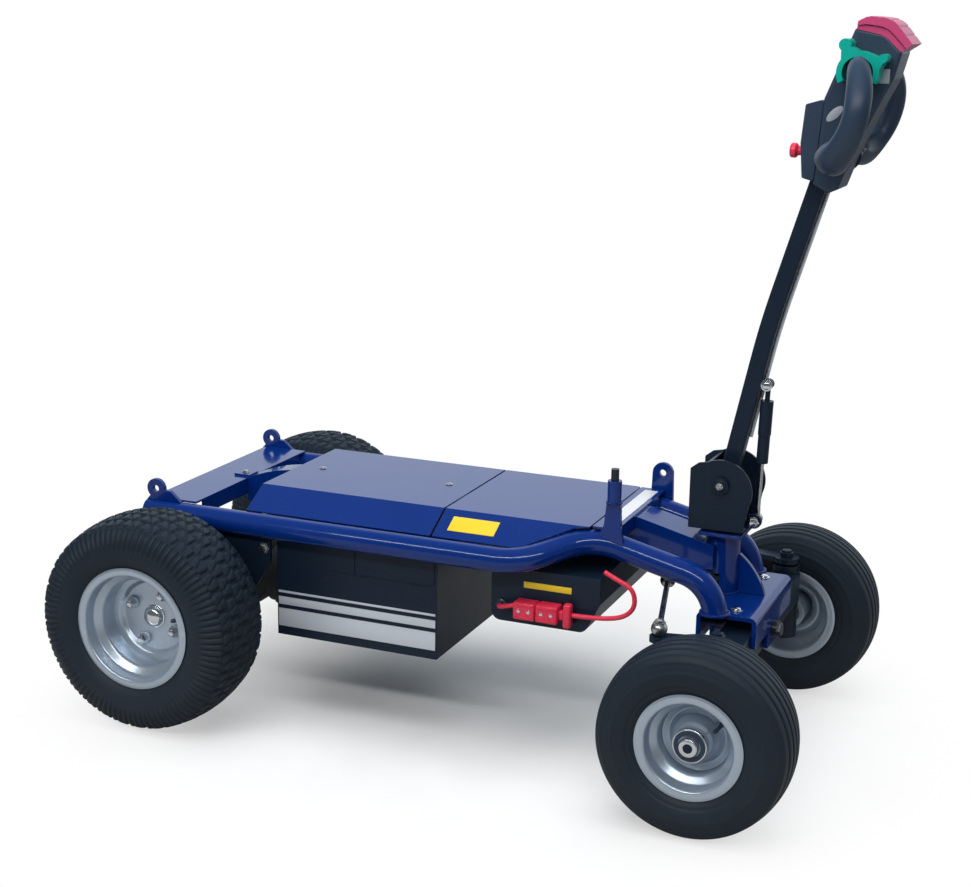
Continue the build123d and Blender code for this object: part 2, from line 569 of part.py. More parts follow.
housing += rod((gx, -24, gz), (gx, -16, gz), 13) + rod((gx, -32, gz), (gx, -16, gz), 8)
housing += rod((TILT_X, -HOUSING_HALF_Y - 6, TILT_Z), (TILT_X, HOUSING_HALF_Y + 6, TILT_Z), TILT_PIN_R)
parts["steering_housing"] = housing

# Tiller
hub_bore = rod((TILT_X, -60, TILT_Z), (TILT_X, 60, TILT_Z), TILT_PIN_R + RUN)
parts["tiller_hub"] = rod((TILT_X, -HUB_HALF_Y, TILT_Z), (TILT_X, HUB_HALF_Y, TILT_Z), HUB_R) - hub_bore
tiller_path = bent_path(TILLER_POINTS, [TILLER_BEND])
tiller_place = Plane(origin=tiller_path @ 0, x_dir=(0, 1, 0), z_dir=tiller_path % 0)
tiller = sweep(tiller_place * RectangleRounded(TILLER_SIDE, TILLER_SIDE, 4), path=tiller_path)
tiller -= rod((TILT_X, -60, TILT_Z), (TILT_X, 60, TILT_Z), HUB_R + SEAT)
ux, _, uz = GAS_TOP
tiller += slab([(ux - 28, uz - 16), (ux, uz - 9), (ux, uz + 9), (ux - 24, uz + 16)], -15, -9)
tiller += rod((ux, -15, uz), (ux, -9, uz), 9) + rod((ux, -15, uz), (ux, 8, uz), GAS_STUD_R)
parts["tiller_tube"] = tiller

up = Vector(*GAS_TOP)
reach = (Vector(*GAS_LOW) - up).length
down = (Vector(*GAS_LOW) - up).normalized()


def on_spring(distance):
    """A point on the spring's line, counted from its upper eye."""
    p = up + down * distance
    return (p.X, p.Y, p.Z)


spring = rod(on_spring(GAS_START), on_spring(GAS_END), GAS_R)
spring += rod(on_spring(0), on_spring(GAS_START + 1), 4.5)
spring += rod(on_spring(GAS_START), on_spring(GAS_SLEEVE_END), GAS_SLEEVE_R)
spring += rod((ux, -6, uz), (ux, 6, uz), GAS_EYE_R)
spring -= rod((ux, -20, uz), (ux, 20, uz), GAS_STUD_R + RUN)
spring -= rod(on_spring(GAS_END - 112), on_spring(GAS_END + 10), GAS_ROD_R + RUN)
parts["gas_cylinder"] = spring
plunger = rod(on_spring(GAS_END - GAS_GRIP), on_spring(reach), GAS_ROD_R)
plunger += rod(on_spring(reach - GAS_FERRULE), on_spring(reach), 4.6)
plunger += rod((gx, -GAS_EYE_HALF, gz), (gx, GAS_EYE_HALF, gz), GAS_EYE_R)
parts["gas_rod"] = plunger - rod((gx, -20, gz), (gx, 20, gz), GAS_STUD_R)

# Control head: a slim moulded body, its switch box, a guarded bar, two closed grips and two thumb paddles
head_back = [(612, 1022), (588, 1036), (598, 1177), (642, 1290)]
head_front = [(690, 1281), (719, 1253), (708, 1210), (685, 1163), (648, 1083), (630, 1030)]
head = slab(head_back + head_front, -HEAD_HALF_Y, HEAD_HALF_Y, HEAD_ROUND)
rim_edges = head.edges().filter_by(lambda e: abs(abs(e.center().Y) - HEAD_HALF_Y) < 0.01)
head = fillet(rim_edges, HEAD_ROUND)
room_path = bent_path(TILLER_POINTS[:2] + [(594.6, 0, 1048)], [TILLER_BEND])
room_side = TILLER_SIDE + 2 * SEAT
tiller_room = sweep(tiller_place * Rectangle(room_side, room_side), path=room_path)
parts["control_head"] = head - tiller_room

box_outline = [(587.5, 1041), (597.5, 1175), (568, 1166), (563, 1103), (568, 1046)]
parts["switch_box"] = slab(box_outline, -SWITCH_HALF_Y, SWITCH_HALF_Y, 4) - tiller_room - head

bar_outer = [(646, 1300), (661, 1309), (692, 1304), (716, 1290), (736.4, 1266)]
bar_inner = [(717, 1252), (689, 1278), (643, 1287)]
parts["safety_bar"] = slab(bar_outer + bar_inner, -46, 46, 2) - head

# Grip sections: centre, direction of the run, half width along X, half width across it
GRIP_SECTIONS = [
    ((GRIP_TOP[0], HEAD_HALF_Y + SEAT, GRIP_TOP[1]), (0, 1, 0), GRIP_R, GRIP_R),
    ((GRIP_TOP[0] + 4, 92, GRIP_TOP[1]), (0.05, 1, 0), GRIP_R, GRIP_R),
    ((673, GRIP_Y - 16, GRIP_TOP[1] - 11), (0.1, 0.7, -0.7), GRIP_R + 1, GRIP_R - 1),
    ((676, GRIP_Y, 1176), (0, 0, -1), GRIP_R + 2, GRIP_R - 1),
    ((669, GRIP_Y - 1, 1138), (-0.3, 0, -1), GRIP_R + 2, GRIP_R - 1),
    ((650, GRIP_Y - 16, 1101), (-0.5, -0.6, -0.6), GRIP_R + 5, GRIP_R),
    ((630, 104, 1085), (-0.3, -1, -0.1), GRIP_R + 9, GRIP_R + 6),
    ((620, HEAD_HALF_Y + SEAT, 1080), (0, -1, 0), GRIP_R + 11, GRIP_R + 9),
]
faces = []
for centre, run, wide, thick in GRIP_SECTIONS:
    along_run = Vector(*run).normalized()
    across = Vector(1, 0, 0) - along_run * along_run.X
    faces.append(Plane(origin=centre, x_dir=across, z_dir=along_run) * Ellipse(wide, thick))
grip = loft(faces)
parts["grip_loops"] = Compound(children=[grip.solid(), mirrored(grip).solid()])

px, pz = GRIP_TOP
paddle_ys = (HEAD_HALF_Y + SEAT, HEAD_HALF_Y + PADDLE_OUT)
bore = rod((px, 0, pz), (px, paddle_ys[1] + 20, pz), GRIP_R + 6)
paddle = rod((px, paddle_ys[0], pz), (px, paddle_ys[1], pz), GRIP_R + 15)
paddle -= slab([(px - 90, pz - 60), (px, pz + 4), (px + 90, pz - 60)], 0, 120)
# Ears of the paddle: tip, radius of the tip, and the two roots on the ring
PADDLE_EARS = [
    ((635, 1263), 10, ((662, 1249), (630, 1222))),
    ((696, 1243), 7, ((684, 1212), (674, 1250))),
]
for tip, tip_r, roots in PADDLE_EARS:
    ear = [(tip[0] - tip_r * 0.6, tip[1]), roots[1], roots[0], (tip[0] + tip_r * 0.6, tip[1])]
    paddle += slab(ear, *paddle_ys)
    paddle += rod((tip[0], paddle_ys[0], tip[1]), (tip[0], paddle_ys[1], tip[1]), tip_r)
paddle -= bore
parts["paddles"] = Compound(children=[paddle.solid(), mirrored(paddle).solid()])

# Lead from the plug's handle: out, round a bend and up behind the side tube
lead_y = face_y - 15
LEAD_POINTS = [(244, lead_y, 280), (318, lead_y, 292), (352, lead_y, 326), (318, lead_y, 352)]
LEAD_POINTS += [(300, lead_y + 6, 366)]
parts["power_lead"] = along(bent_path(LEAD_POINTS, [40, 24, 20]), Circle(LEAD_R))
SHORT_POINTS = [(104, face_y - 2, 276), (104, lead_y - 3, 276), (136, lead_y - 3, 284)]
short_lead = along(bent_path(SHORT_POINTS, [2 * LEAD_R]), Circle(LEAD_R))
parts["short_lead"] = short_lead + rod((104, face_y, 276), (104, face_y - 6, 276), LEAD_R + 3)

os.makedirs("parts", exist_ok=True)
for name, piece in parts.items():
    piece.label = name
    export_step(piece, f"parts/{name}.step")
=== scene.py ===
"""Looks of the electric material trolley: surfaces, finishes, light and camera.

All lengths are in metres, in the frame of the solids.
"""
import json
import logging
import math
from dataclasses import dataclass, field
from enum import Enum
from typing import Union

import bmesh
import bpy
import numpy as np
from mathutils import Matrix, Vector


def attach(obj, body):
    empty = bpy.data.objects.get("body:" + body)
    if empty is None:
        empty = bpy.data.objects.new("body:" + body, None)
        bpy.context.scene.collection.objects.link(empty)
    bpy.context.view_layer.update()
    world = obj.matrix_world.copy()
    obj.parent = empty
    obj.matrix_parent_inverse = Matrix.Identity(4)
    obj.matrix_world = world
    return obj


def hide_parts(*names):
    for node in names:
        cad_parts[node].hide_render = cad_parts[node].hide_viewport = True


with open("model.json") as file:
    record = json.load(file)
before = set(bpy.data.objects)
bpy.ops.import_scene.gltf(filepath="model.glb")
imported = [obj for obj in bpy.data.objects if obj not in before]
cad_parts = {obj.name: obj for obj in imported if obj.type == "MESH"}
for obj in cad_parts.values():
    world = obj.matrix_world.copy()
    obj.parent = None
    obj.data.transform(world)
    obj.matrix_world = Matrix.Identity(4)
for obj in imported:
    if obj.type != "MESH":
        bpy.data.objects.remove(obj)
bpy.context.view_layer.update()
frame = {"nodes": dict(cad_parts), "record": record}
LOG = logging.getLogger("trolley")

Point = tuple[float, float, float]
# Points and quads of one closed surface
Patch = tuple[np.ndarray, np.ndarray]
# What an input of a shader node takes: another node's output, a number or a colour
Feed = Union[bpy.types.NodeSocket, float, tuple]

SIDES = {"right": -1.0, "left": 1.0}
TURN = 2.0 * math.pi
AHEAD = (1.0, 0.0, 0.0)
LEFT = (0.0, 1.0, 0.0)
RIGHT = (0.0, -1.0, 0.0)
UP = (0.0, 0.0, 1.0)
WHITE = (1.0, 1.0, 1.0)


class Effect(Enum):
    """Shared surface effects, each a node group."""

    GRAIN = "paint_grain"
    DUST = "settled_dust"
    SCUFF = "fine_scuffs"


class Drive(Enum):
    """Shape of a fastener's head, by its number of flats."""

    HEX = 6
    DOME = 0


class End(Enum):
    """End of the trolley where a wheel is."""

    REAR = "rear"
    FRONT = "front"


def smooth(low: float, high: float, value: np.ndarray) -> np.ndarray:
    """Soft step: zero below low, one above high, 3t^2 - 2t^3 between.

    Args:
        low: value where the step starts.
        high: value where it ends.
        value: array of values.
    Returns:
        Array of weights from 0 to 1.
    """
    t = np.clip((value - low) / (high - low), 0.0, 1.0)
    return t * t * (3.0 - 2.0 * t)


def grid_faces(rows: int, columns: int, wrap_rows: bool, wrap_columns: bool) -> np.ndarray:
    """Quads of a grid whose point (i, j) has index i * columns + j.

    Args:
        rows: number of points along the first parameter.
        columns: number of points along the second parameter.
        wrap_rows: the last row joins the first.
        wrap_columns: the last column joins the first.
    Returns:
        Array of four indices a face.
    """
    i = np.arange(rows if wrap_rows else rows - 1)
    j = np.arange(columns if wrap_columns else columns - 1)
    a, b = np.meshgrid(i, j, indexing="ij")
    a2, b2 = (a + 1) % rows, (b + 1) % columns
    corners = [a * columns + b, a2 * columns + b, a2 * columns + b2, a * columns + b2]
    return np.stack(corners, -1).reshape(-1, 4)


def put_mesh(name: str, points: np.ndarray, quads: np.ndarray) -> bpy.types.Object:
    """Puts whole arrays of points and quads into a new, smoothly shaded object at the origin.

    Args:
        name: the piece's name.
        points: array of n by 3, metres.
        quads: array of m by 4 indices.
    Returns:
        The new object.
    """
    mesh = bpy.data.meshes.new(name)
    points = np.asarray(points, np.float32).reshape(-1, 3)
    quads = np.asarray(quads, np.int32)
    mesh.vertices.add(len(points))
    mesh.vertices.foreach_set("co", points.ravel())
    mesh.loops.add(quads.size)
    mesh.loops.foreach_set("vertex_index", quads.ravel())
    mesh.polygons.add(len(quads))
    mesh.polygons.foreach_set("loop_start", np.arange(0, quads.size, 4, dtype=np.int32))
    mesh.polygons.foreach_set("use_smooth", np.ones(len(quads), bool))
    mesh.update(calc_edges=True)
    mesh.validate()
    piece = bpy.data.objects.new(name, mesh)
    bpy.context.scene.collection.objects.link(piece)
    return piece


def surface(name: str, points: np.ndarray, wrap_rows: bool, wrap_columns: bool) -> bpy.types.Object:
    """A grid surface from an array of rows by columns by 3."""
    rows, columns = points.shape[:2]
    return put_mesh(name, points, grid_faces(rows, columns, wrap_rows, wrap_columns))


def unit(vectors: np.ndarray) -> np.ndarray:
    """Vectors along the last axis, each at length one."""
    vectors = np.asarray(vectors, float)
    return vectors / np.linalg.norm(vectors, axis=-1, keepdims=True)


def round_line(points: list, radii: list, steps: int = 6) -> np.ndarray:
    """An open line in two or three dimensions with each inner corner turned by a tangent arc.

    Args:
        points: corner points.
        radii: radius at each inner corner.
        steps: points on each arc.
    Returns:
        Array of points.
    """
    corners = np.asarray(points, float)
    t = np.linspace(0.0, 1.0, steps)[:, None]
    runs = [corners[:1]]
    for before, here, after, radius in zip(corners[:-2], corners[1:-1], corners[2:], radii):
        back, ahead = unit(before - here), unit(after - here)
        half = math.acos(float(np.clip(back @ ahead, -1.0, 1.0))) / 2.0
        middle = here + unit(back + ahead) * radius / math.sin(half)
        first = unit(here + back * radius / math.tan(half) - middle)
        last = unit(here + ahead * radius / math.tan(half) - middle)
        sweep = math.acos(float(np.clip(first @ last, -1.0, 1.0)))
        arc = np.sin((1.0 - t) * sweep) * first + np.sin(t * sweep) * last
        runs.append(middle + radius * arc / math.sin(sweep))
    return np.concatenate(runs + [corners[-1:]])


def wall(line: np.ndarray, thickness: float) -> np.ndarray:
    """A closed loop round an open flat line, half the thickness to each side of it.

    Args:
        line: array of flat points.
        thickness: whole thickness.
    Returns:
        Array of the loop's points.
    """
    along = unit(np.gradient(line, axis=0))
    across = np.stack([-along[:, 1], along[:, 0]], -1) * thickness / 2.0
    return np.concatenate([line + across, (line - across)[::-1]])


def ring(loop: np.ndarray, centre: Point, side: float, sectors: int = 120) -> Patch:
    """A closed loop of (radius, y) turned about an axis along Y: (r cos a, side * y, r sin a).

    Args:
        loop: closed loop, either way round.
        centre: point on the axis.
        side: 1 on the left, -1 on the right, where y points outwards.
        sectors: steps round the turn.
    Returns:
        Points and quads.
    """
    r, y = loop[:, 0], side * loop[:, 1]
    if np.sum(r * np.roll(y, -1) - np.roll(r, -1) * y) > 0.0:
        r, y = r[::-1], y[::-1]
    angle = np.linspace(0.0, TURN, sectors, endpoint=False)[:, None]
    across = np.broadcast_to(y, (sectors, len(y)))
    points = np.stack([np.cos(angle) * r, across, np.sin(angle) * r], -1)
    return points + np.asarray(centre), grid_faces(sectors, len(r), True, True)


def lathe(profile: np.ndarray, origin: Point, axis: Point, sectors: int = 40, sides: int = 0) -> Patch:
    """A turned form: origin + h * axis + r * (cos a * u + sin a * v).

    Where sides are given, r is drawn in to a polygon: r * cos(pi / n) / cos(angle from the flat's middle).

    Args:
        profile: (radius, height) rows, from the foot over the outside to the top.
        origin: foot of the axis.
        axis: direction of the axis.
        sectors: steps round the turn.
        sides: number of flats, 0 for round.
    Returns:
        Points and quads.
    """
    w = unit(axis)
    u = unit(np.cross(UP if abs(w[2]) < 0.9 else AHEAD, w))
    v = np.cross(w, u)
    angle = np.linspace(0.0, TURN, sectors, endpoint=False)
    spread = np.ones(sectors)
    if sides:
        spread = math.cos(math.pi / sides) / np.cos(np.mod(angle, TURN / sides) - math.pi / sides)
    r, h = np.asarray(profile, float).T
    out = np.cos(angle)[:, None] * u + np.sin(angle)[:, None] * v
    points = np.asarray(origin) + h[None, :, None] * w + (spread[:, None] * r)[..., None] * out[:, None]
    return points, grid_faces(sectors, len(r), True, False)


def tube(path: np.ndarray, radius: float | np.ndarray, side: Point, around: int = 14) -> Patch:
    """A closed round tube: path + r * (cos a * n + sin a * b), n the given side made square to the path.

    Args:
        path: points of the centre line.
        radius: one radius or one for each point.
        side: direction that is nowhere along the path.
        around: steps round the tube.
    Returns:
        Points and quads.
    """
    path = np.asarray(path, float)
    r = np.broadcast_to(radius, len(path)).astype(float)
    along = unit(np.gradient(path, axis=0))
    n = unit(np.asarray(side) - (along @ np.asarray(side))[:, None] * along)
    b = np.cross(along, n)
    path, n, b = (np.concatenate([q[:1], q, q[-1:]]) for q in (path, n, b))
    r = np.concatenate([[0.0], r, [0.0]])
    angle = np.linspace(0.0, TURN, around, endpoint=False)[:, None, None]
    points = path + r[:, None] * (np.cos(angle) * n + np.sin(angle) * b)
    return points, grid_faces(around, len(path), True, False)


def rounded_box(low: Point, high: Point, radius: float, steps: int = 4) -> Patch:
    """A box with rounded edges: each grid normal n is pushed to sign(n) * (half - radius) + radius * n.

    Args:
        low: lowest corner.
        high: highest corner.
        radius: edge radius.
        steps: steps round a quarter of an edge.
    Returns:
        Points and quads.
    """
    half = (np.asarray(high) - np.asarray(low)) / 2.0
    middle = (np.asarray(high) + np.asarray(low)) / 2.0
    # A normal just off each plane has a definite sign
    off = 0.0001
    quarter = np.linspace(off, math.pi / 2 - off, steps)
    u = np.concatenate([quarter + k * math.pi / 2 for k in range(4)])
    v = np.concatenate([quarter - math.pi / 2, quarter])
    uu, vv = np.meshgrid(u, v, indexing="ij")
    normal = np.stack([np.cos(vv) * np.cos(uu), np.cos(vv) * np.sin(uu), np.sin(vv)], -1)
    points = middle + np.sign(normal) * (half - radius) + radius * normal
    corner = np.arange(4) * steps * len(v)
    lids = np.stack([corner[::-1], corner + len(v) - 1])
    return points.reshape(-1, 3), np.concatenate([grid_faces(len(u), len(v), True, False), lids])


def placed(form: Patch, origin: Point, axes: np.ndarray) -> Patch:
    """A form drawn about the origin, put at a place with its three axes along the given rows."""
    points, quads = form
    return np.asarray(points) @ np.asarray(axes) + np.asarray(origin), quads


@dataclass
class Form:
    """Several closed surfaces gathered into one mesh.

    Points closer than weld become one, edges shorter than sliver go, and edges sharper than crease stay
    crisp.
    """

    points: list = field(default_factory=list)
    quads: list = field(default_factory=list)
    count: int = 0
    weld: float = 2e-6
    sliver: float = 1e-7
    crease: float = math.radians(38.0)

    def add(self, form: Patch) -> "Form":
        """Takes in one surface.

        Args:
            form: points and quads.
        Returns:
            This form.
        """
        flat = np.asarray(form[0], float).reshape(-1, 3)
        self.points.append(flat)
        self.quads.append(np.asarray(form[1]) + self.count)
        self.count += len(flat)
        return self

    def piece(self, name: str) -> bpy.types.Object:
        """Makes the object, with the points at each pole and seam joined and flats kept crisp.

        Args:
            name: the piece's name.
        Returns:
            The new object.
        """
        piece = put_mesh(name, np.concatenate(self.points), np.concatenate(self.quads))
        work = bmesh.new()
        work.from_mesh(piece.data)
        bmesh.ops.remove_doubles(work, verts=work.verts, dist=self.weld)
        bmesh.ops.dissolve_degenerate(work, edges=work.edges, dist=self.sliver)
        work.to_mesh(piece.data)
        work.free()
        piece.data.set_sharp_from_angle(angle=self.crease)
        return piece


@dataclass
class Nodes:
    """A shader node tree, with short ways to add and link its nodes."""

    tree: bpy.types.NodeTree

    def add(self, kind: str, inputs: dict | None = None, **options: object) -> bpy.types.Node:
        """Adds a node.

        Args:
            kind: the node's type, without the prefix that all types share.
            inputs: what to feed each input, by name or place.
            options: settings of the node, such as its operation.
        Returns:
            The new node.
        """
        node = self.tree.nodes.new(f"ShaderNode{kind}")
        for name, value in options.items():
            setattr(node, name, value)
        self.fill(node, inputs or {})
        return node

    def fill(self, node: bpy.types.Node, inputs: dict) -> None:
        """Feeds several inputs of a node, given by name or place."""
        for place, value in inputs.items():
            self.feed(node.inputs[place], value)

    def feed(self, socket: bpy.types.NodeSocket, value: Feed) -> None:
        """Links an output to an input, or sets the input to a number or a colour.

        Args:
            socket: the input.
            value: what it takes.
        """
        if isinstance(value, bpy.types.NodeSocket):
            self.tree.links.new(value, socket)
        else:
            socket.default_value = (*value, 1.0) if isinstance(value, tuple) else value

    def calc(self, operation: str, first: Feed, second: Feed) -> bpy.types.NodeSocket:
        """The output of a math node with two inputs."""
        return self.add("Math", {0: first, 1: second}, operation=operation).outputs[0]

    def mix(self, factor: Feed, first: Feed, second: Feed) -> bpy.types.NodeSocket:
        """The output of a node that mixes two colours; places 6 and 7 are its two colour inputs."""
        return self.add("Mix", {0: factor, 6: first, 7: second}, data_type="RGBA").outputs[2]

    def noise(self, scale: Feed, detail: float) -> bpy.types.NodeSocket:
        """Noise on Object coordinates, times a scale."""
        coords = self.add("TexCoord").outputs["Object"]
        return self.add("TexNoise", {"Vector": coords, "Scale": scale, "Detail": detail}).outputs["Fac"]

    def step(self, value: Feed, low: float, high: float, top: float = 1.0) -> bpy.types.NodeSocket:
        """A soft step of a value, from 0 at low to top at high; returns its output."""
        inputs = {"Value": value, "From Min": low, "From Max": high, "To Max": top}
        return self.add("MapRange", inputs, interpolation_type="SMOOTHSTEP").outputs[0]


class EffectLibrary:
    """Builds each shared effect once, as a shader node group."""

    dust_scale = 14.0
    rub_level = 0.62
    rub_gain = 9.0

    def __init__(self) -> None:
        """Makes all the groups."""
        makers = {Effect.GRAIN: self._grain, Effect.DUST: self._dust, Effect.SCUFF: self._scuff}
        self.groups = {effect: make() for effect, make in makers.items()}

    @staticmethod
    def _new(effect: Effect, inputs: dict, outputs: list) -> tuple:
        """An empty group with float inputs and outputs.

        Args:
            effect: the effect that the group is for.
            inputs: default value of each input, by name.
            outputs: names of the outputs.
        Returns:
            The group's nodes, the sockets that its inputs come from and those that its outputs go to.
        """
        tree = bpy.data.node_groups.new(effect.value, "ShaderNodeTree")
        for name, value in inputs.items():
            socket = tree.interface.new_socket(name=name, in_out="INPUT", socket_type="NodeSocketFloat")
            socket.default_value = value
        for name in outputs:
            tree.interface.new_socket(name=name, in_out="OUTPUT", socket_type="NodeSocketFloat")
        start, end = tree.nodes.new("NodeGroupInput"), tree.nodes.new("NodeGroupOutput")
        return Nodes(tree), start.outputs, end.inputs

    def _grain(self) -> bpy.types.NodeTree:
        """Fine unevenness: a broad tone value and a small height.

        Returns:
            The group.
        """
        nodes, start, end = self._new(Effect.GRAIN, {"Scale": 400.0, "Broad": 9.0}, ["Tone", "Height"])
        nodes.feed(end["Tone"], nodes.noise(start["Broad"], 4.0))
        nodes.feed(end["Height"], nodes.noise(start["Scale"], 2.0))
        return nodes.tree

    def _dust(self) -> bpy.types.NodeTree:
        """Dust that gathers low down: a ramp in height, held between 0 and 1, times broken noise.

        Returns:
            The group.
        """
        nodes, start, end = self._new(Effect.DUST, {"Top": 0.35, "Fade": 0.3, "Amount": 0.5}, ["Mask"])
        coords = nodes.add("TexCoord").outputs["Object"]
        height = nodes.add("SeparateXYZ", {0: coords}).outputs["Z"]
        below = nodes.calc("SUBTRACT", start["Top"], height)
        low = nodes.add("Clamp", {"Value": nodes.calc("DIVIDE", below, start["Fade"])}).outputs[0]
        broken = nodes.calc("MULTIPLY", low, nodes.noise(self.dust_scale, 6.0))
        nodes.feed(end["Mask"], nodes.calc("MULTIPLY", broken, start["Amount"]))
        return nodes.tree

    def _scuff(self) -> bpy.types.NodeTree:
        """Sparse small rubs: noise kept only near its peaks.

        Returns:
            The group.
        """
        nodes, start, end = self._new(Effect.SCUFF, {"Scale": 45.0, "Amount": 0.5}, ["Mask"])
        peak = nodes.calc("SUBTRACT", nodes.noise(start["Scale"], 8.0), self.rub_level)
        rubs = nodes.add("Clamp", {"Value": nodes.calc("MULTIPLY", peak, self.rub_gain)}).outputs[0]
        nodes.feed(end["Mask"], nodes.calc("MULTIPLY", rubs, start["Amount"]))
        return nodes.tree


DUST_COLOUR = (0.32, 0.30, 0.27)
# A rubbed place is the base colour times the first number plus the second
RUBBED = (1.6, 0.04)
RUB_ROUGHNESS = 0.35
# The broad tone moves the roughness between these two shares of it
ROUGHNESS_SHARES = (0.85, 1.2)
BUMP_DEPTH = 0.001
EDGE_SAMPLES = 6


@dataclass(frozen=True)
class Finish:
    """A paint, plastic, rubber or metal.

    Tone moves the base colour between base and deep, dust lightens it low down and scuffs roughen it.
    Edge is the radius, in metres, by which paint softens sharp edges.
    """

    name: str
    base: tuple
    deep: tuple
    roughness: float
    metallic: float = 0.0
    coat: float = 0.0
    coat_roughness: float = 0.05
    specular: float = 0.5
    broad: float = 9.0
    grain: float = 400.0
    bump: float = 0.02
    dust: float = 0.0
    dust_top: float = 0.35
    scuff: float = 0.0
    edge: float = 0.0

    def material(self, effects: EffectLibrary) -> bpy.types.Material:
        """Builds the node material.

        Args:
            effects: the shared groups.
        Returns:
            The material.
        """
        material = bpy.data.materials.new(self.name)
        material.use_nodes = True
        nodes = Nodes(material.node_tree)
        grain = self._group(nodes, effects.groups[Effect.GRAIN], {"Scale": self.grain, "Broad": self.broad})
        dust = self._group(nodes, effects.groups[Effect.DUST], {"Top": self.dust_top, "Amount": self.dust})
        scuff = self._group(nodes, effects.groups[Effect.SCUFF], {"Amount": self.scuff})
        tone = nodes.mix(grain["Tone"], self.deep, self.base)
        pale = tuple(min(1.0, c * RUBBED[0] + RUBBED[1]) for c in self.base)
        colour = nodes.mix(dust["Mask"], nodes.mix(scuff["Mask"], tone, pale), DUST_COLOUR)
        low, high = (min(1.0, self.roughness * share) for share in ROUGHNESS_SHARES)
        level = nodes.add("MapRange", {"Value": grain["Tone"], "To Min": low, "To Max": high}).outputs[0]
        rubbed = nodes.calc("MULTIPLY", scuff["Mask"], RUB_ROUGHNESS)
        worn = nodes.add("Math", {0: level, 1: rubbed}, operation="ADD", use_clamp=True).outputs[0]
        height = {"Strength": self.bump, "Distance": BUMP_DEPTH, "Height": grain["Height"]}
        if self.edge:
            height["Normal"] = nodes.add("Bevel", {"Radius": self.edge}, samples=EDGE_SAMPLES).outputs[0]
        nodes.fill(nodes.tree.nodes["Principled BSDF"], {
            "Base Color": colour,
            "Roughness": worn,
            "Normal": nodes.add("Bump", height).outputs[0],
            "Metallic": self.metallic,
            "Coat Weight": self.coat,
            "Coat Roughness": self.coat_roughness,
            "Specular IOR Level": self.specular,
        })
        return material

    @staticmethod
    def _group(nodes: Nodes, group: bpy.types.NodeTree, values: dict) -> bpy.types.NodeOutputs:
        """Places a shared group with this finish's values; returns its outputs."""
        return nodes.add("Group", values, node_tree=group).outputs


FINISHES = {
    "frame_blue": Finish(
        "blue_gloss_paint", (0.0012, 0.0245, 0.178), (0.0008, 0.0200, 0.150), 0.16,
        coat=0.42, coat_roughness=0.03, specular=0.20, grain=260.0, bump=0.012, scuff=0.06, edge=0.0018,
    ),
    "black_paint": Finish(
        "black_satin_paint", (0.0075, 0.0165, 0.0330), (0.0060, 0.0130, 0.0260), 0.34,
        specular=0.22, grain=500.0, bump=0.04, scuff=0.08, edge=0.0015,
    ),
    "dark_steel": Finish(
        "dark_steel", (0.050, 0.055, 0.065), (0.035, 0.040, 0.048), 0.34,
        metallic=0.8, grain=700.0, bump=0.03,
    ),
    "rim_silver": Finish(
        "silver_rim_paint", (0.50, 0.57, 0.65), (0.43, 0.50, 0.58), 0.30,
        metallic=0.75, grain=900.0, bump=0.02, scuff=0.12,
    ),
    "tyre": Finish(
        "tyre_rubber", (0.0095, 0.0180, 0.0300), (0.0070, 0.0135, 0.0225), 0.50,
        grain=700.0, bump=0.12, dust=0.04, specular=0.25,
    ),
    "black_plastic": Finish(
        "moulded_plastic", (0.020, 0.039, 0.072), (0.015, 0.030, 0.056), 0.36,
        specular=0.42, grain=1400.0, bump=0.10,
    ),
    "red_plastic": Finish(
        "red_plastic", (0.72, 0.028, 0.075), (0.62, 0.020, 0.058), 0.34, grain=900.0, bump=0.03,
    ),
    # Red plastic of the guard bar; its pink tint is painted glare
    "red_plastic_painted_glare": Finish(
        "red_plastic_painted_glare", (0.52, 0.055, 0.165), (0.46, 0.042, 0.135), 0.32, grain=900.0, bump=0.03,
    ),
    "green_plastic": Finish(
        "green_plastic", (0.0, 0.37, 0.29), (0.0, 0.32, 0.25), 0.30, specular=0.3, grain=900.0,
    ),
    "battery": Finish("battery_case", (0.03, 0.03, 0.033), (0.02, 0.02, 0.022), 0.5),
    "steel": Finish(
        "zinc_steel", (0.60, 0.60, 0.59), (0.45, 0.45, 0.45), 0.28,
        metallic=1.0, grain=700.0, bump=0.03, broad=30.0,
    ),
    "cast_black": Finish(
        "black_casting", (0.016, 0.019, 0.024), (0.010, 0.012, 0.016), 0.55,
        grain=300.0, bump=0.2, dust=0.1,
    ),
    "silver_film": Finish("silver_film", (0.62, 0.66, 0.72), (0.55, 0.59, 0.65), 0.36, metallic=0.15),
    "white_plate": Finish("white_plate", (0.70, 0.71, 0.74), (0.64, 0.65, 0.68), 0.4),
    "yellow_plate": Finish("yellow_plate", (0.82, 0.58, 0.02), (0.76, 0.52, 0.015), 0.38),
    "grey_plastic": Finish("grey_plastic", (0.32, 0.35, 0.39), (0.27, 0.30, 0.34), 0.4),
    "chrome": Finish("bright_cap", (0.80, 0.81, 0.82), (0.70, 0.71, 0.72), 0.12, metallic=1.0, broad=40.0),
}
# Solids whose look differs from the finish of their slot
NODE_FINISH = {"lock_pin": "dark_steel", "axle_pivot_bolt": "dark_steel"}


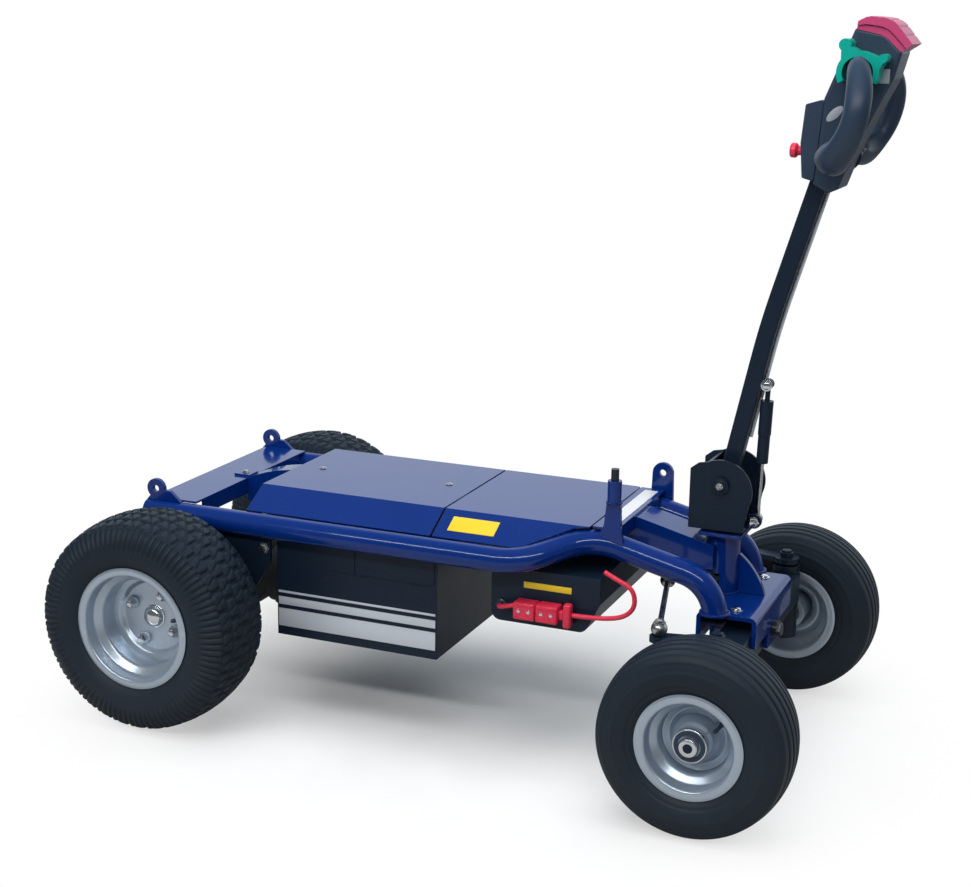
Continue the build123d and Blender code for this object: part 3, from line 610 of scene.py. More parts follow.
class PaintShop:
    """Holds the built materials and dresses pieces and solids."""

    def __init__(self) -> None:
        """Builds every finish once."""
        effects = EffectLibrary()
        self.materials = {key: finish.material(effects) for key, finish in FINISHES.items()}

    def dress(self, piece: bpy.types.Object, key: str) -> None:
        """Gives a piece one finish."""
        piece.data.materials.clear()
        piece.data.materials.append(self.materials[key])

    def mount(self, piece: bpy.types.Object, key: str, body: str, node: str = "") -> bpy.types.Object:
        """Gives a piece its finish, lets it ride a body and lets it stand for a solid.

        Args:
            piece: the new object.
            key: finish.
            body: body that carries it.
            node: solid that it replaces, if any.
        Returns:
            The piece.
        """
        self.dress(piece, key)
        if node:
            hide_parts(node)
        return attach(piece, body)

    def dress_solids(self) -> None:
        """Gives every carried-over solid the finish of its record slot."""
        for part in frame["record"]["subparts"]:
            node = frame["nodes"][part["node"]]
            self.dress(node, NODE_FINISH.get(part["node"], part["material_slot"]))


@dataclass(frozen=True)
class TyreSize:
    """Measures of a tyre and of the rim that it sits on.

    Half is half the greatest width, found at the radius mid. Tread is half the crown's width and drop its
    fall to the shoulder. Well is the depth of the rim's well below its bead seat. Lug is the lugs' height,
    nothing on a ribbed tyre.
    """

    radius: float
    half: float
    tread: float
    drop: float
    mid: float
    flange: float
    rim_half: float
    seat: float
    well: float
    lug: float
    sectors: int


@dataclass
class Tyre:
    """An air-filled tyre as one closed surface of turn angle and section place.

    Pitches is the number of lugs round one row, lug_half_long is a share of a pitch, and each edge is the
    range over which a soft step runs. Rib reach is how far below the crown the shoulder's ribs end.
    """

    name: str
    node: str
    body: str
    centre: Point
    side: float
    size: TyreSize
    rim_play: float = 0.0034
    lip_lift: float = 0.002
    seat_lift: float = 0.0004
    bead_wide: float = 0.012
    bead_edge: tuple = (0.004, 0.012)
    pitches: float = 32.0
    row_step: float = 0.027
    outer_row: float = 2.0
    lug_half_wide: float = 0.0105
    lug_half_long: float = 0.376
    lug_bow: float = 0.10
    lug_end_edge: tuple = (0.95, 1.12)
    lug_side_edge: tuple = (0.90, 1.10)
    slit_lean: float = 0.35
    slit_edge: tuple = (0.10, 0.22)
    slit_share: float = 0.55
    ribs_per_pitch: float = 3.0
    rib_edge: tuple = (0.45, 0.80)
    rib_reach: tuple = (0.056, 0.040)
    rib_height: float = 0.0030
    groove_places: tuple = (-0.036, -0.018, 0.0, 0.018, 0.036)
    groove_edge: tuple = (0.0018, 0.0032)
    groove_depth: float = 0.006
    line_height: float = 0.0016
    band_height: float = 0.0008

    def section(self) -> np.ndarray:
        """Arcs for the outer wall, crown and inner wall, between two straight beads on the rim's seat.

        Returns:
            Rows of (radius, y) from the outer bead over the crown to the inner bead.
        """
        size = self.size
        heel = size.rim_half - self.rim_play
        lip = size.flange + self.lip_lift
        carcass = size.radius - size.lug
        shoulder = carcass - size.drop
        outer = self._arc((lip, heel), (size.mid, size.half), (shoulder, size.tread), 28)
        crown = self._arc((shoulder, size.tread), (carcass, 0.0), (shoulder, -size.tread), 66)
        mirror = np.array([1.0, -1.0])
        seat = size.seat + self.seat_lift
        start = np.array([[seat, heel - self.bead_wide], [seat, heel]])
        return np.concatenate([start, outer, crown[1:-1], outer[::-1] * mirror, start[::-1] * mirror])

    @staticmethod
    def _arc(first: tuple, through: tuple, last: tuple, count: int) -> np.ndarray:
        """Points on the circle through three points, from the first to the last.

        Args:
            first: where the arc starts.
            through: a place on the way.
            last: where it ends.
            count: number of points.
        Returns:
            Array of points.
        """
        a, b, c = (np.array(p, float) for p in (first, through, last))
        square = np.array([b @ b - a @ a, c @ c - a @ a])
        middle = np.linalg.solve(np.array([b - a, c - a]) * 2.0, square)
        angles = np.unwrap([math.atan2(*(p - middle)[::-1]) for p in (a, b, c)])
        t = np.linspace(angles[0], angles[2], count)
        return middle + np.linalg.norm(a - middle) * np.stack([np.cos(t), np.sin(t)], -1)

    def turf_height(self, turn: np.ndarray, y: np.ndarray, r: np.ndarray) -> np.ndarray:
        """Staggered lugs in five rows, each split by a slanting slit, and close ribs from the shoulder down.

        A lug is a soft-edged product of a step along the turn and a step across its row.

        Args:
            turn: turn angle in radians, broadcast over the section.
            y: place across the tyre.
            r: radius of the plain section.
        Returns:
            Height above the carcass in metres.
        """
        size = self.size
        row = np.clip(np.round(y / self.row_step), -self.outer_row, self.outer_row)
        lane = (y - row * self.row_step) / self.lug_half_wide
        cell = np.mod(turn * self.pitches / TURN + 0.5 * np.mod(row, 2.0) + 0.5, 1.0) - 0.5
        reach = np.abs(cell) / self.lug_half_long + self.lug_bow * lane**2
        ends, sides = smooth(*self.lug_end_edge, reach), smooth(*self.lug_side_edge, np.abs(lane))
        lugs = (1.0 - ends) * (1.0 - sides)
        slit = 1.0 - smooth(*self.slit_edge, np.abs(cell / self.lug_half_long + self.slit_lean * lane))
        rib = np.abs(np.mod(turn * self.pitches * self.ribs_per_pitch / TURN, 1.0) - 0.5) * 2.0
        high = smooth(*(size.radius - depth for depth in self.rib_reach), r)
        beside = smooth(size.tread * 0.945, size.tread * 0.985, np.abs(y))
        ribs = (1.0 - smooth(*self.rib_edge, rib)) * high * beside
        return size.lug * lugs * (1.0 - self.slit_share * slit) + self.rib_height * ribs

    def ring_height(self, turn: np.ndarray, y: np.ndarray, r: np.ndarray) -> np.ndarray:
        """Smooth rings with narrow grooves between them, and fine moulding lines and a band on the sidewall.

        Grooves are soft steps in y, moulding lines are bell curves in r, and nothing changes with the turn.

        Args:
            turn: turn angle in radians, not used.
            y: place across the tyre.
            r: radius of the plain section.
        Returns:
            Height above the carcass in metres.
        """
        size = self.size
        grooves, line = np.zeros_like(y), np.zeros_like(y)
        for place in self.groove_places:
            grooves = np.maximum(grooves, 1.0 - smooth(*self.groove_edge, np.abs(y - place)))
        on_tread = smooth(size.radius - size.drop * 1.6, size.radius - size.drop * 0.9, r)
        lines = (
            (size.radius * 0.895, 0.0016),
            (size.radius * 0.775, 0.0022),
            (size.flange + 0.013, 0.0014),
        )
        for place, width in lines:
            line = np.maximum(line, np.exp(-(((r - place) / width) ** 2)))
        band = smooth(size.radius * 0.90, size.radius * 0.93, r)
        raised = self.line_height * line + self.band_height * band
        return -self.groove_depth * grooves * on_tread + raised * (1.0 - on_tread)

    def build(self, shop: PaintShop) -> bpy.types.Object:
        """Makes, dresses and mounts the tyre: the section turned about the axle, raised along its normals.

        Args:
            shop: the finishes.
        Returns:
            The tyre.
        """
        size, section = self.size, self.section()
        turn = np.linspace(0.0, TURN, size.sectors, endpoint=False)[:, None]
        tangent = np.gradient(section, axis=0)
        normal = np.stack([-tangent[:, 1], tangent[:, 0]], -1)
        normal /= np.linalg.norm(normal, axis=1, keepdims=True) + 1e-9
        normal *= np.where(normal[:, :1] < -0.2, -1.0, 1.0)
        r, y = (np.broadcast_to(column, (size.sectors, len(section))) for column in section.T)
        shape = self.turf_height if size.lug else self.ring_height
        height = shape(turn, y, r) * smooth(*(size.flange + lift for lift in self.bead_edge), r)
        rr = r + normal[:, 0] * height
        yy = y + normal[:, 1] * height
        points = np.stack([rr * np.cos(turn), self.side * yy, rr * np.sin(turn)], -1)
        points = points + np.asarray(self.centre)
        piece = surface(self.name, points if self.side > 0 else points[:, ::-1], True, True)
        return shop.mount(piece, "tyre", self.body, self.node)


@dataclass(frozen=True)
class Lamp:
    """A rectangular lamp that points at the trolley; mirrored says whether glossy faces show it."""

    name: str
    place: Point
    wide: float
    deep: float
    power: float
    mirrored: bool = False
    aim: Point = (0.0, 0.0, 0.35)

    def build(self) -> None:
        """Makes the lamp."""
        data = bpy.data.lights.new(self.name, "AREA")
        data.shape = "RECTANGLE"
        data.size = self.wide
        data.size_y = self.deep
        data.energy = self.power
        lamp = bpy.data.objects.new(self.name, data)
        lamp.location = self.place
        ahead = Vector(self.aim) - Vector(self.place)
        lamp.rotation_euler = ahead.to_track_quat("-Z", "Y").to_euler()
        lamp.visible_glossy = self.mirrored
        bpy.context.scene.collection.objects.link(lamp)


@dataclass(frozen=True)
class Studio:
    """Camera at the photograph's viewing angle, pale floor and soft light.

    The focal length and the width are in pixels of the photograph. Floor grey is how much of the floor's
    tone other rays than the camera's see. The floor turns white over the range of fade, as distances from
    the middle. Above and behind are each a direction's range and the light that the room gains over it.
    """

    eye: Point = (1.19899, -2.90286, 1.3136)
    yaw: float = math.radians(22.56)
    pitch: float = math.radians(14.19)
    roll: float = math.radians(0.91)
    focal_px: float = 1728.97
    width_px: float = 971.0
    sensor_mm: float = 36.0
    floor_reach: tuple = (0.0, 0.6, 1.2, 2.0, 4.0, 12.0)
    floor_sectors: int = 64
    floor_cloud: tuple = (6.0, 8.0)
    floor_tone: tuple = (0.80, 0.94)
    floor_roughness: float = 0.75
    floor_grey: float = 0.5
    fade: tuple = (0.18, 0.98)
    room_colour: tuple = (0.84, 0.93, 1.0)
    room_base: float = 0.13
    room_above: tuple = (0.05, 0.75, 0.10)
    room_behind: tuple = (0.10, 0.80, 0.80)
    lamps: tuple = (
        Lamp("overhead", (0.2, -0.5, 3.2), 2.6, 2.6, 78.0),
        Lamp("strip", (0.2, -2.9, 2.6), 4.4, 0.30, 60.0, True),
        Lamp("left_fill", (-2.6, -2.6, 1.7), 2.0, 2.0, 26.0),
    )

    def camera(self) -> None:
        """Sets the camera from the fitted eye point, three angles and focal length."""
        sin_yaw, cos_yaw = math.sin(self.yaw), math.cos(self.yaw)
        sin_roll, cos_roll = math.sin(self.roll), math.cos(self.roll)
        level = math.cos(self.pitch)
        ahead = np.array([-sin_yaw * level, cos_yaw * level, -math.sin(self.pitch)])
        right = np.array([cos_yaw, sin_yaw, 0.0])
        up = np.cross(right, ahead)
        turned_right = cos_roll * right + sin_roll * up
        turned_up = -sin_roll * right + cos_roll * up
        data = bpy.data.cameras.new("photo_camera")
        data.sensor_fit = "HORIZONTAL"
        data.sensor_width = self.sensor_mm
        data.lens = self.focal_px * self.sensor_mm / self.width_px
        camera = bpy.data.objects.new("photo_camera", data)
        bpy.context.scene.collection.objects.link(camera)
        rows = np.column_stack([turned_right, turned_up, -ahead, self.eye])
        camera.matrix_world = Matrix([*rows.tolist(), [0.0, 0.0, 0.0, 1.0]])
        bpy.context.scene.camera = camera

    def floor(self) -> None:
        """A wide disc of rings, white far out, that keeps the shadow and is clear from below."""
        reach = np.array(self.floor_reach)
        angle = np.linspace(0.0, TURN, self.floor_sectors, endpoint=False)[:, None]
        flat = np.zeros((self.floor_sectors, len(reach)))
        points = np.stack([np.cos(angle) * reach, np.sin(angle) * reach, flat], -1)
        ground = surface("floor", points[::-1], True, False)
        ground.data.materials.append(self.floor_paint())

    def floor_paint(self) -> bpy.types.Material:
        """Pale to the camera and fading to white, grey to reflected rays, clear from below.

        Returns:
            The material.
        """
        material = bpy.data.materials.new("pale_floor")
        material.use_nodes = True
        nodes = Nodes(material.node_tree)
        camera = nodes.add("LightPath").outputs["Is Camera Ray"]
        coords = nodes.add("TexCoord").outputs["Object"]
        dark, bright = self.floor_tone
        cloud = nodes.noise(*self.floor_cloud)
        tone = nodes.add("MapRange", {"Value": cloud, "To Min": dark, "To Max": bright}).outputs[0]
        share = {0: camera, 1: 1.0 - self.floor_grey, 2: self.floor_grey}
        pale = nodes.add("Math", share, operation="MULTIPLY_ADD").outputs[0]
        shader = nodes.tree.nodes["Principled BSDF"]
        colour = nodes.calc("MULTIPLY", pale, tone)
        nodes.fill(shader, {"Roughness": self.floor_roughness, "Base Color": colour})
        white = nodes.add("Emission", {"Color": WHITE}).outputs[0]
        far = nodes.add("VectorMath", {0: coords}, operation="LENGTH").outputs["Value"]
        seen = nodes.calc("MULTIPLY", camera, nodes.step(far, *self.fade))
        above = nodes.add("MixShader", {0: seen, 1: shader.outputs[0], 2: white}).outputs[0]
        under = nodes.add("NewGeometry").outputs["Backfacing"]
        clear = nodes.add("BsdfTransparent").outputs[0]
        sided = nodes.add("MixShader", {0: under, 1: above, 2: clear}).outputs[0]
        nodes.fill(nodes.tree.nodes["Material Output"], {"Surface": sided})
        return material

    def world(self) -> None:
        """A room that is dim at the camera's side, bright overhead and brightest behind the trolley."""
        world = bpy.data.worlds.new("studio")
        world.use_nodes = True
        nodes = Nodes(world.node_tree)
        coords = nodes.add("TexCoord").outputs["Generated"]
        split = nodes.add("SeparateXYZ", {0: coords}).outputs
        above = nodes.step(split["Z"], *self.room_above)
        behind = nodes.step(split["Y"], *self.room_behind)
        level = nodes.calc("ADD", nodes.calc("ADD", above, behind), self.room_base)
        room = nodes.tree.nodes["Background"]
        nodes.fill(room, {"Color": self.room_colour, "Strength": level})
        white = nodes.add("Background", {"Color": WHITE}).outputs[0]
        camera = nodes.add("LightPath").outputs["Is Camera Ray"]
        mix = nodes.add("MixShader", {0: camera, 1: room.outputs[0], 2: white}).outputs[0]
        nodes.fill(nodes.tree.nodes["World Output"], {"Surface": mix})
        bpy.context.scene.world = world

    def light(self) -> None:
        """A broad soft lamp overhead, a narrow one that draws a line along the tubes, and a gentle fill."""
        bpy.context.scene.view_settings.view_transform = "Standard"
        self.world()
        for lamp in self.lamps:
            lamp.build()


@dataclass
class Wheel:
    """A wheel: tyre, pressed rim, and the hardware on its hub.

    Outlines are rows of (radius, distance out), turned about the axle or about a nut's own axis.
    """

    end: End
    side: str
    centre: Point
    size: TyreSize
    rim_thick: float = 0.0028
    rim_inset: float = 0.0015
    nut_circle: float = 0.050
    nut_degrees: tuple = (64.0, 154.0, 244.0, 334.0)

    @property
    def name(self) -> str:
        """End and side, as in the names of its pieces."""
        return f"{self.end.value}_{self.side}"

    @property
    def sign(self) -> float:
        """1 on the left, -1 on the right."""
        return SIDES[self.side]

    @property
    def body(self) -> str:
        """Body that turns with the wheel."""
        return f"wheel_{self.name}"

    @property
    def outward(self) -> Point:
        """Direction from the trolley's middle to this wheel."""
        return (0.0, self.sign, 0.0)

    def spot(self, radius: float, degrees: float, out: float) -> np.ndarray:
        """A point at a radius and angle about the axis, counted upwards from straight ahead."""
        a = math.radians(degrees)
        return np.asarray(self.centre) + (radius * math.cos(a), self.sign * out, radius * math.sin(a))

    def barrel(self) -> np.ndarray:
        """The rim's wall: flange, bead seat, slope to the well, and the same again at the back.

        Returns:
            Closed loop of (radius, y).
        """
        flange = self.size.flange
        seat, half = self.size.seat - self.rim_inset, self.size.rim_half - self.rim_inset
        front = [
            (flange, half - 0.0012), (flange - 0.004, half), (seat + 0.001, half),
            (seat, half - 0.0235), (seat - self.size.well, half - 0.0335),
        ]
        back = [(r, -y) for r, y in front[::-1]]
        turns = [0.0015, 0.004, 0.007, 0.007]
        return wall(round_line(front + back, turns + turns[::-1]), self.rim_thick)

    @staticmethod
    def valve(foot: np.ndarray, tip: np.ndarray, radii: tuple, side: Point) -> Patch:
        """A valve as a straight tube with a thick foot, a thin stem and a cap.

        Args:
            foot: where it leaves the rim.
            tip: its free end.
            radii: of the foot, the stem, the cap and the tip.
            side: direction that is not along the valve.
        Returns:
            Points and quads.
        """
        thick, stem, cap, end = radii
        steps = np.arange(12)
        radius = np.interp(steps, [0, 2, 3, 8, 9, 11], [thick, thick, stem, stem, cap, end])
        return tube(np.linspace(foot, tip, len(steps)), radius, side)

    def build(self, shop: PaintShop) -> list:
        """Makes the wheel's pieces.

        Args:
            shop: the finishes.
        Returns:
            The new pieces.
        """
        name = self.name
        tread = Tyre(f"tread_{name}", f"tyre_{name}", self.body, self.centre, self.sign, self.size)
        rim = Form().add(ring(self.barrel(), self.centre, self.sign))
        bright, dark = Form(), Form()
        fit_hub = self.rear_hub if self.end is End.REAR else self.front_hub
        fit_hub(rim, bright, dark)
        return [
            tread.build(shop),
            shop.mount(rim.piece(f"pressed_rim_{name}"), "rim_silver", self.body, f"rim_{name}"),
            shop.mount(bright.piece(f"hub_bright_{name}"), "chrome", self.body),
            shop.mount(dark.piece(f"valve_{name}"), "black_plastic", self.body),
        ]

    def rear_hub(self, rim: Form, bright: Form, dark: Form) -> None:
        """Flat deep disc with four domed nuts on raised seats, a bright cap, the half shaft and a valve.

        Args:
            rim: takes the painted forms.
            bright: takes the bright forms.
            dark: takes the rubber forms.
        """
        at, out = self.centre, self.outward
        disc = [(0.0836, 0.0005), (0.0735, -0.0010), (0.0665, -0.0095), (0.0200, -0.0095)]
        rim.add(ring(wall(round_line(disc, [0.005, 0.005]), 0.0046), at, self.sign))
        shaft = [
            (0.0, -0.120), (0.015, -0.120), (0.015, -0.070),
            (0.034, -0.066), (0.034, -0.0095), (0.0, -0.0095),
        ]
        rim.add(lathe(round_line(shaft, [0.001, 0.003, 0.003, 0.001]), at, out, 48))
        cap = [
            (0.0, -0.0085), (0.0225, -0.0085), (0.0225, -0.0050),
            (0.0195, -0.0045), (0.0185, 0.0040), (0.0, 0.0105),
        ]
        bright.add(lathe(round_line(cap, [0.0005, 0.001, 0.001, 0.008]), at, out, 48))
        seat = [(0.0, -0.0085), (0.0150, -0.0078), (0.0105, -0.0020), (0.0, -0.0015)]
        seat = round_line(seat, [0.003, 0.002])
        nut = [(0.0, -0.0020), (0.0100, -0.0020), (0.0100, 0.0060), (0.0070, 0.0115), (0.0, 0.0135)]
        nut = round_line(nut, [0.0005, 0.0012, 0.003])
        for degrees in self.nut_degrees:
            foot = self.spot(self.nut_circle, degrees, 0.0)
            rim.add(lathe(seat, foot, out, 36))
            bright.add(lathe(nut, foot, out, 36, Drive.HEX.value))
        foot, tip = self.spot(0.0815, 9.0, 0.008), self.spot(0.053, 7.0, 0.020)
        dark.add(self.valve(foot, tip, (0.0050, 0.0036, 0.0042, 0.0034), out))

    def front_hub(self, rim: Form, bright: Form, dark: Form) -> None:
        """Dished disc that runs up to a bearing barrel, with a bright ring, a seal and a valve.

        Args:
            rim: takes the painted forms.
            bright: takes the bright forms.
            dark: takes the rubber forms.
        """
        at = self.centre
        disc = [(0.0592, 0.0010), (0.0480, -0.0060), (0.0390, 0.0000), (0.0320, 0.0220), (0.0272, 0.0280)]
        rim.add(ring(wall(round_line(disc, [0.004, 0.004, 0.006]), 0.0040), at, self.sign))
        hub = [(0.0130, 0.0446), (0.0262, 0.0446), (0.0290, 0.0425), (0.0290, -0.045), (0.0130, -0.045)]
        rim.add(ring(round_line(hub, [0.001, 0.002, 0.001]), at, self.sign))
        seal = np.array([(0.0190, 0.0452), (0.0262, 0.0452)])
        dark.add(ring(wall(seal, 0.0012), at, self.sign))
        edge = round_line([(0.0262, 0.0440), (0.0285, 0.0452), (0.0292, 0.0400)], [0.001])
        bright.add(ring(wall(edge, 0.0012), at, self.sign))
        foot, tip = self.spot(0.0585, 38.0, 0.013), self.spot(0.047, 36.0, 0.037)
        dark.add(self.valve(foot, tip, (0.0048, 0.0034, 0.0040, 0.0032), AHEAD))


@dataclass
class Running:
    """The four wheels and the caps on the front stub axles; an axle is given as (x, z)."""

    rear_axle: tuple = (-0.532, 0.203)
    front_axle: tuple = (0.520, 0.165)
    rear_track_half: float = 0.335
    front_track_half: float = 0.350
    rear: TyreSize = TyreSize(
        radius=0.203, half=0.0825, tread=0.068, drop=0.009, mid=0.1516, flange=0.115,
        rim_half=0.072, seat=0.1016, well=0.0156, lug=0.005, sectors=720,
    )
    front: TyreSize = TyreSize(
        radius=0.165, half=0.0625, tread=0.050, drop=0.007, mid=0.1242, flange=0.091,
        rim_half=0.055, seat=0.0762, well=0.0142, lug=0.0, sectors=300,
    )

    @staticmethod
    def cup() -> np.ndarray:
        """A thin dished cup on a stub axle's end.

        Returns:
            Closed loop of (radius, distance out).
        """
        outside = [(0.0178, 0.0456), (0.0178, 0.0500), (0.0150, 0.0552), (0.0105, 0.0560), (0.0082, 0.0556)]
        inside = [(0.0082, 0.0552), (0.0172, 0.0456)]
        return np.concatenate([round_line(outside, [0.001, 0.002, 0.001]), inside])

    def build(self, shop: PaintShop) -> list:
        """Makes all wheels.

        Args:
            shop: the finishes.
        Returns:
            The new pieces.
        """
        pieces = []
        for side, sign in SIDES.items():
            rear = (self.rear_axle[0], sign * self.rear_track_half, self.rear_axle[1])
            front = (self.front_axle[0], sign * self.front_track_half, self.front_axle[1])
            pieces += Wheel(End.REAR, side, rear, self.rear).build(shop)
            pieces += Wheel(End.FRONT, side, front, self.front).build(shop)
            cap = Form().add(ring(self.cup(), front, sign, 60))
            pieces.append(shop.mount(cap.piece(f"stub_cup_{side}"), "chrome", f"knuckle_{side}"))
        return pieces


@dataclass
class Fastener:
    """A row of the fastener table: what is turned, where, which way it points, and what carries it."""

    place: Point
    axis: Point
    radius: float
    height: float
    drive: Drive
    finish: str
    body: str
    washer_share: float = 1.35

    def form(self) -> Patch:
        """A thin washer and a head with rounded edges, turned about the axis.

        Returns:
            Points and quads.
        """
        r, h = self.radius, self.height
        wide = r * self.washer_share
        profile = [(0.0, -0.0004), (wide, -0.0004), (wide, 0.0012), (r, 0.0014), (r, h * 0.75), (0.0, h)]
        edge = r * (0.45 if self.drive is Drive.DOME else 0.12)
        line = round_line(profile, [0.0003, 0.0003, 0.0002, min(edge, h * 0.5)])
        return lathe(line, self.place, self.axis, 36, self.drive.value)


class Fasteners:
    """Bolts and nuts, joined into one mesh for each body and finish."""

    def table(self) -> list:
        """All fasteners, the single ones first and then those of each side.

        Returns:
            Rows of the table.
        """
        hexes, dome = Drive.HEX, Drive.DOME
        rows = [
            Fastener((-0.351, 0.0, 0.430), UP, 0.0055, 0.0035, dome, "steel", "chassis"),
            Fastener((-0.080, 0.0, 0.430), UP, 0.0055, 0.0035, dome, "steel", "chassis"),
            Fastener((-0.525, 0.0, 0.4018), UP, 0.0060, 0.005, hexes, "steel", "chassis"),
            Fastener((0.566, 0.0, 0.240), AHEAD, 0.0125, 0.0098, hexes, "dark_steel", "chassis"),
            Fastener((0.517, -0.032, 0.441), RIGHT, 0.0085, 0.006, hexes, "chrome", "steering"),
            Fastener((0.524, -0.015, 0.685), RIGHT, 0.0075, 0.006, dome, "chrome", "tiller"),
            Fastener((0.524, 0.008, 0.685), LEFT, 0.0065, 0.006, hexes, "chrome", "tiller"),
        ]
        for side, s in SIDES.items():
            out = (0.0, s, 0.0)
            knuckle = f"knuckle_{side}"
            rows += [
                Fastener((-0.363, s * 0.215, 0.326), out, 0.009, 0.0065, hexes, "steel", "chassis"),
                Fastener((0.512, s * 0.099, 0.300), UP, 0.0085, 0.006, dome, "chrome", "chassis"),
                Fastener((0.461, s * 0.056, 0.507), out, 0.0112, 0.0035, dome, "black_paint", "steering"),
                Fastener((0.461, s * 0.059, 0.507), out, 0.0048, 0.0040, dome, "steel", "steering"),
                Fastener((0.520, s * 0.250, 0.305), UP, 0.0105, 0.007, hexes, "black_paint", knuckle),
                Fastener((0.425, s * 0.270, 0.3195), UP, 0.0085, 0.007, hexes, "steel", knuckle),
                Fastener((0.364, s * 0.020, 0.337), UP, 0.0085, 0.007, hexes, "steel", "steering"),
            ]
        return rows

    def build(self, shop: PaintShop) -> list:
        """Makes the joined meshes.

        Args:
            shop: the finishes.
        Returns:
            The new pieces.
        """
        groups = {}
        for row in self.table():
            groups.setdefault((row.body, row.finish), Form()).add(row.form())
        pieces = []
        for (body, finish), form in groups.items():
            pieces.append(shop.mount(form.piece(f"bolts_{body}_{finish}"), finish, body))
        return pieces


@dataclass
class Trim:
    """Films and plates that lie on the boxes, bar and cover, and the weld beads.

    Bands are the (low, high) heights of the film on the battery box. Slope is the way down the front
    cover's side. The plate on the bar and the strip on the electronics box are two corners each. A bead is
    its centre, its half widths along X and Y, and its own radius.
    """

    bands: tuple = ((0.2390, 0.2435), (0.2160, 0.2312), (0.1730, 0.2082))
    box_x: tuple = (-0.3405, -0.0170)
    box_y: float = 0.200
    film: float = 0.0005
    sunk: float = 0.0002
    slope: Point = (0.0, -0.0640, -0.0353)
    slope_spot: Point = (0.047, -0.179, 0.41235)
    slope_plate: Point = (0.045, 0.018, 0.0010)
    bar_plate: tuple = ((0.2705, -0.1000, 0.4306), (0.2965, 0.1220, 0.4320))
    box_strip: tuple = ((0.146, -0.1806, 0.3130), (0.236, -0.1798, 0.3245))
    column_bead: tuple = ((0.459, 0.0, 0.3012), (0.0325, 0.0325), 0.0030)
    tube_bead: tuple = ((0.4822, 0.130, 0.3012), (0.0240, 0.0238), 0.0032)
    sleeve_bead: tuple = ((0.298, -0.146, 0.4805), (0.0130, 0.0130), 0.0018)
    ripples: float = 40.0
    ripple_share: float = 0.10

    def stripes(self) -> Form:
        """Three bands of film on each side of the battery box.

        Returns:
            The bands.
        """
        form = Form()
        for s in SIDES.values():
            inner, outer = sorted((s * (self.box_y - self.sunk), s * (self.box_y + self.film)))
            for low, high in self.bands:
                form.add(rounded_box((self.box_x[0], inner, low), (self.box_x[1], outer, high), 0.0002, 3))
        return form

    def sloped_plate(self) -> Form:
        """A blank plate on the right slope of the front cover, drawn flat and laid on the slope.

        Returns:
            The plate.
        """
        long, wide, thick = self.slope_plate
        ahead, up_slope = np.array(AHEAD), -unit(self.slope)
        plate = rounded_box((-long, -wide, -self.sunk), (long, wide, thick), 0.0005, 3)
        axes = np.stack([ahead, up_slope, np.cross(ahead, up_slope)])
        return Form().add(placed(plate, self.slope_spot, axes))

    def bead(self, centre: Point, radii: tuple, thick: float) -> Patch:
        """A weld bead round a level ellipse, its thickness rippled by a fine wave.

        Args:
            centre: middle of the ellipse.
            radii: half widths along X and Y.
            thick: radius of the bead.
        Returns:
            Points and quads.
        """
        turn = np.linspace(0.0, TURN, 220)
        loop = np.stack([radii[0] * np.cos(turn), radii[1] * np.sin(turn), np.zeros_like(turn)], -1)
        waves = 1.0 + self.ripple_share * np.sin(turn * self.ripples)
        return tube(np.asarray(centre) + loop, thick * waves, UP, 8)

    def welds(self) -> Form:
        """Beads at the column's foot, the side tubes' front ends and the pin's sleeve.

        Returns:
            The beads.
        """
        form = Form().add(self.bead(*self.column_bead))
        (x, y, z), radii, thick = self.tube_bead
        for s in SIDES.values():
            form.add(self.bead((x, s * y, z), radii, thick))
        return form.add(self.bead(*self.sleeve_bead))

    def build(self, shop: PaintShop) -> list:
        """Makes films, plates and beads.

        Args:
            shop: the finishes.
        Returns:
            The new pieces.
        """
        bar = Form().add(rounded_box(*self.bar_plate, 0.0005, 3))
        strip = Form().add(rounded_box(*self.box_strip, 0.0003, 3))
        return [
            shop.mount(self.stripes().piece("box_stripes"), "silver_film", "chassis"),
            shop.mount(bar.piece("bar_plate"), "white_plate", "chassis"),
            shop.mount(self.sloped_plate().piece("cover_plate"), "yellow_plate", "chassis"),
            shop.mount(strip.piece("box_strip"), "yellow_plate", "chassis"),
            shop.mount(self.welds().piece("weld_beads"), "frame_blue", "chassis"),
        ]


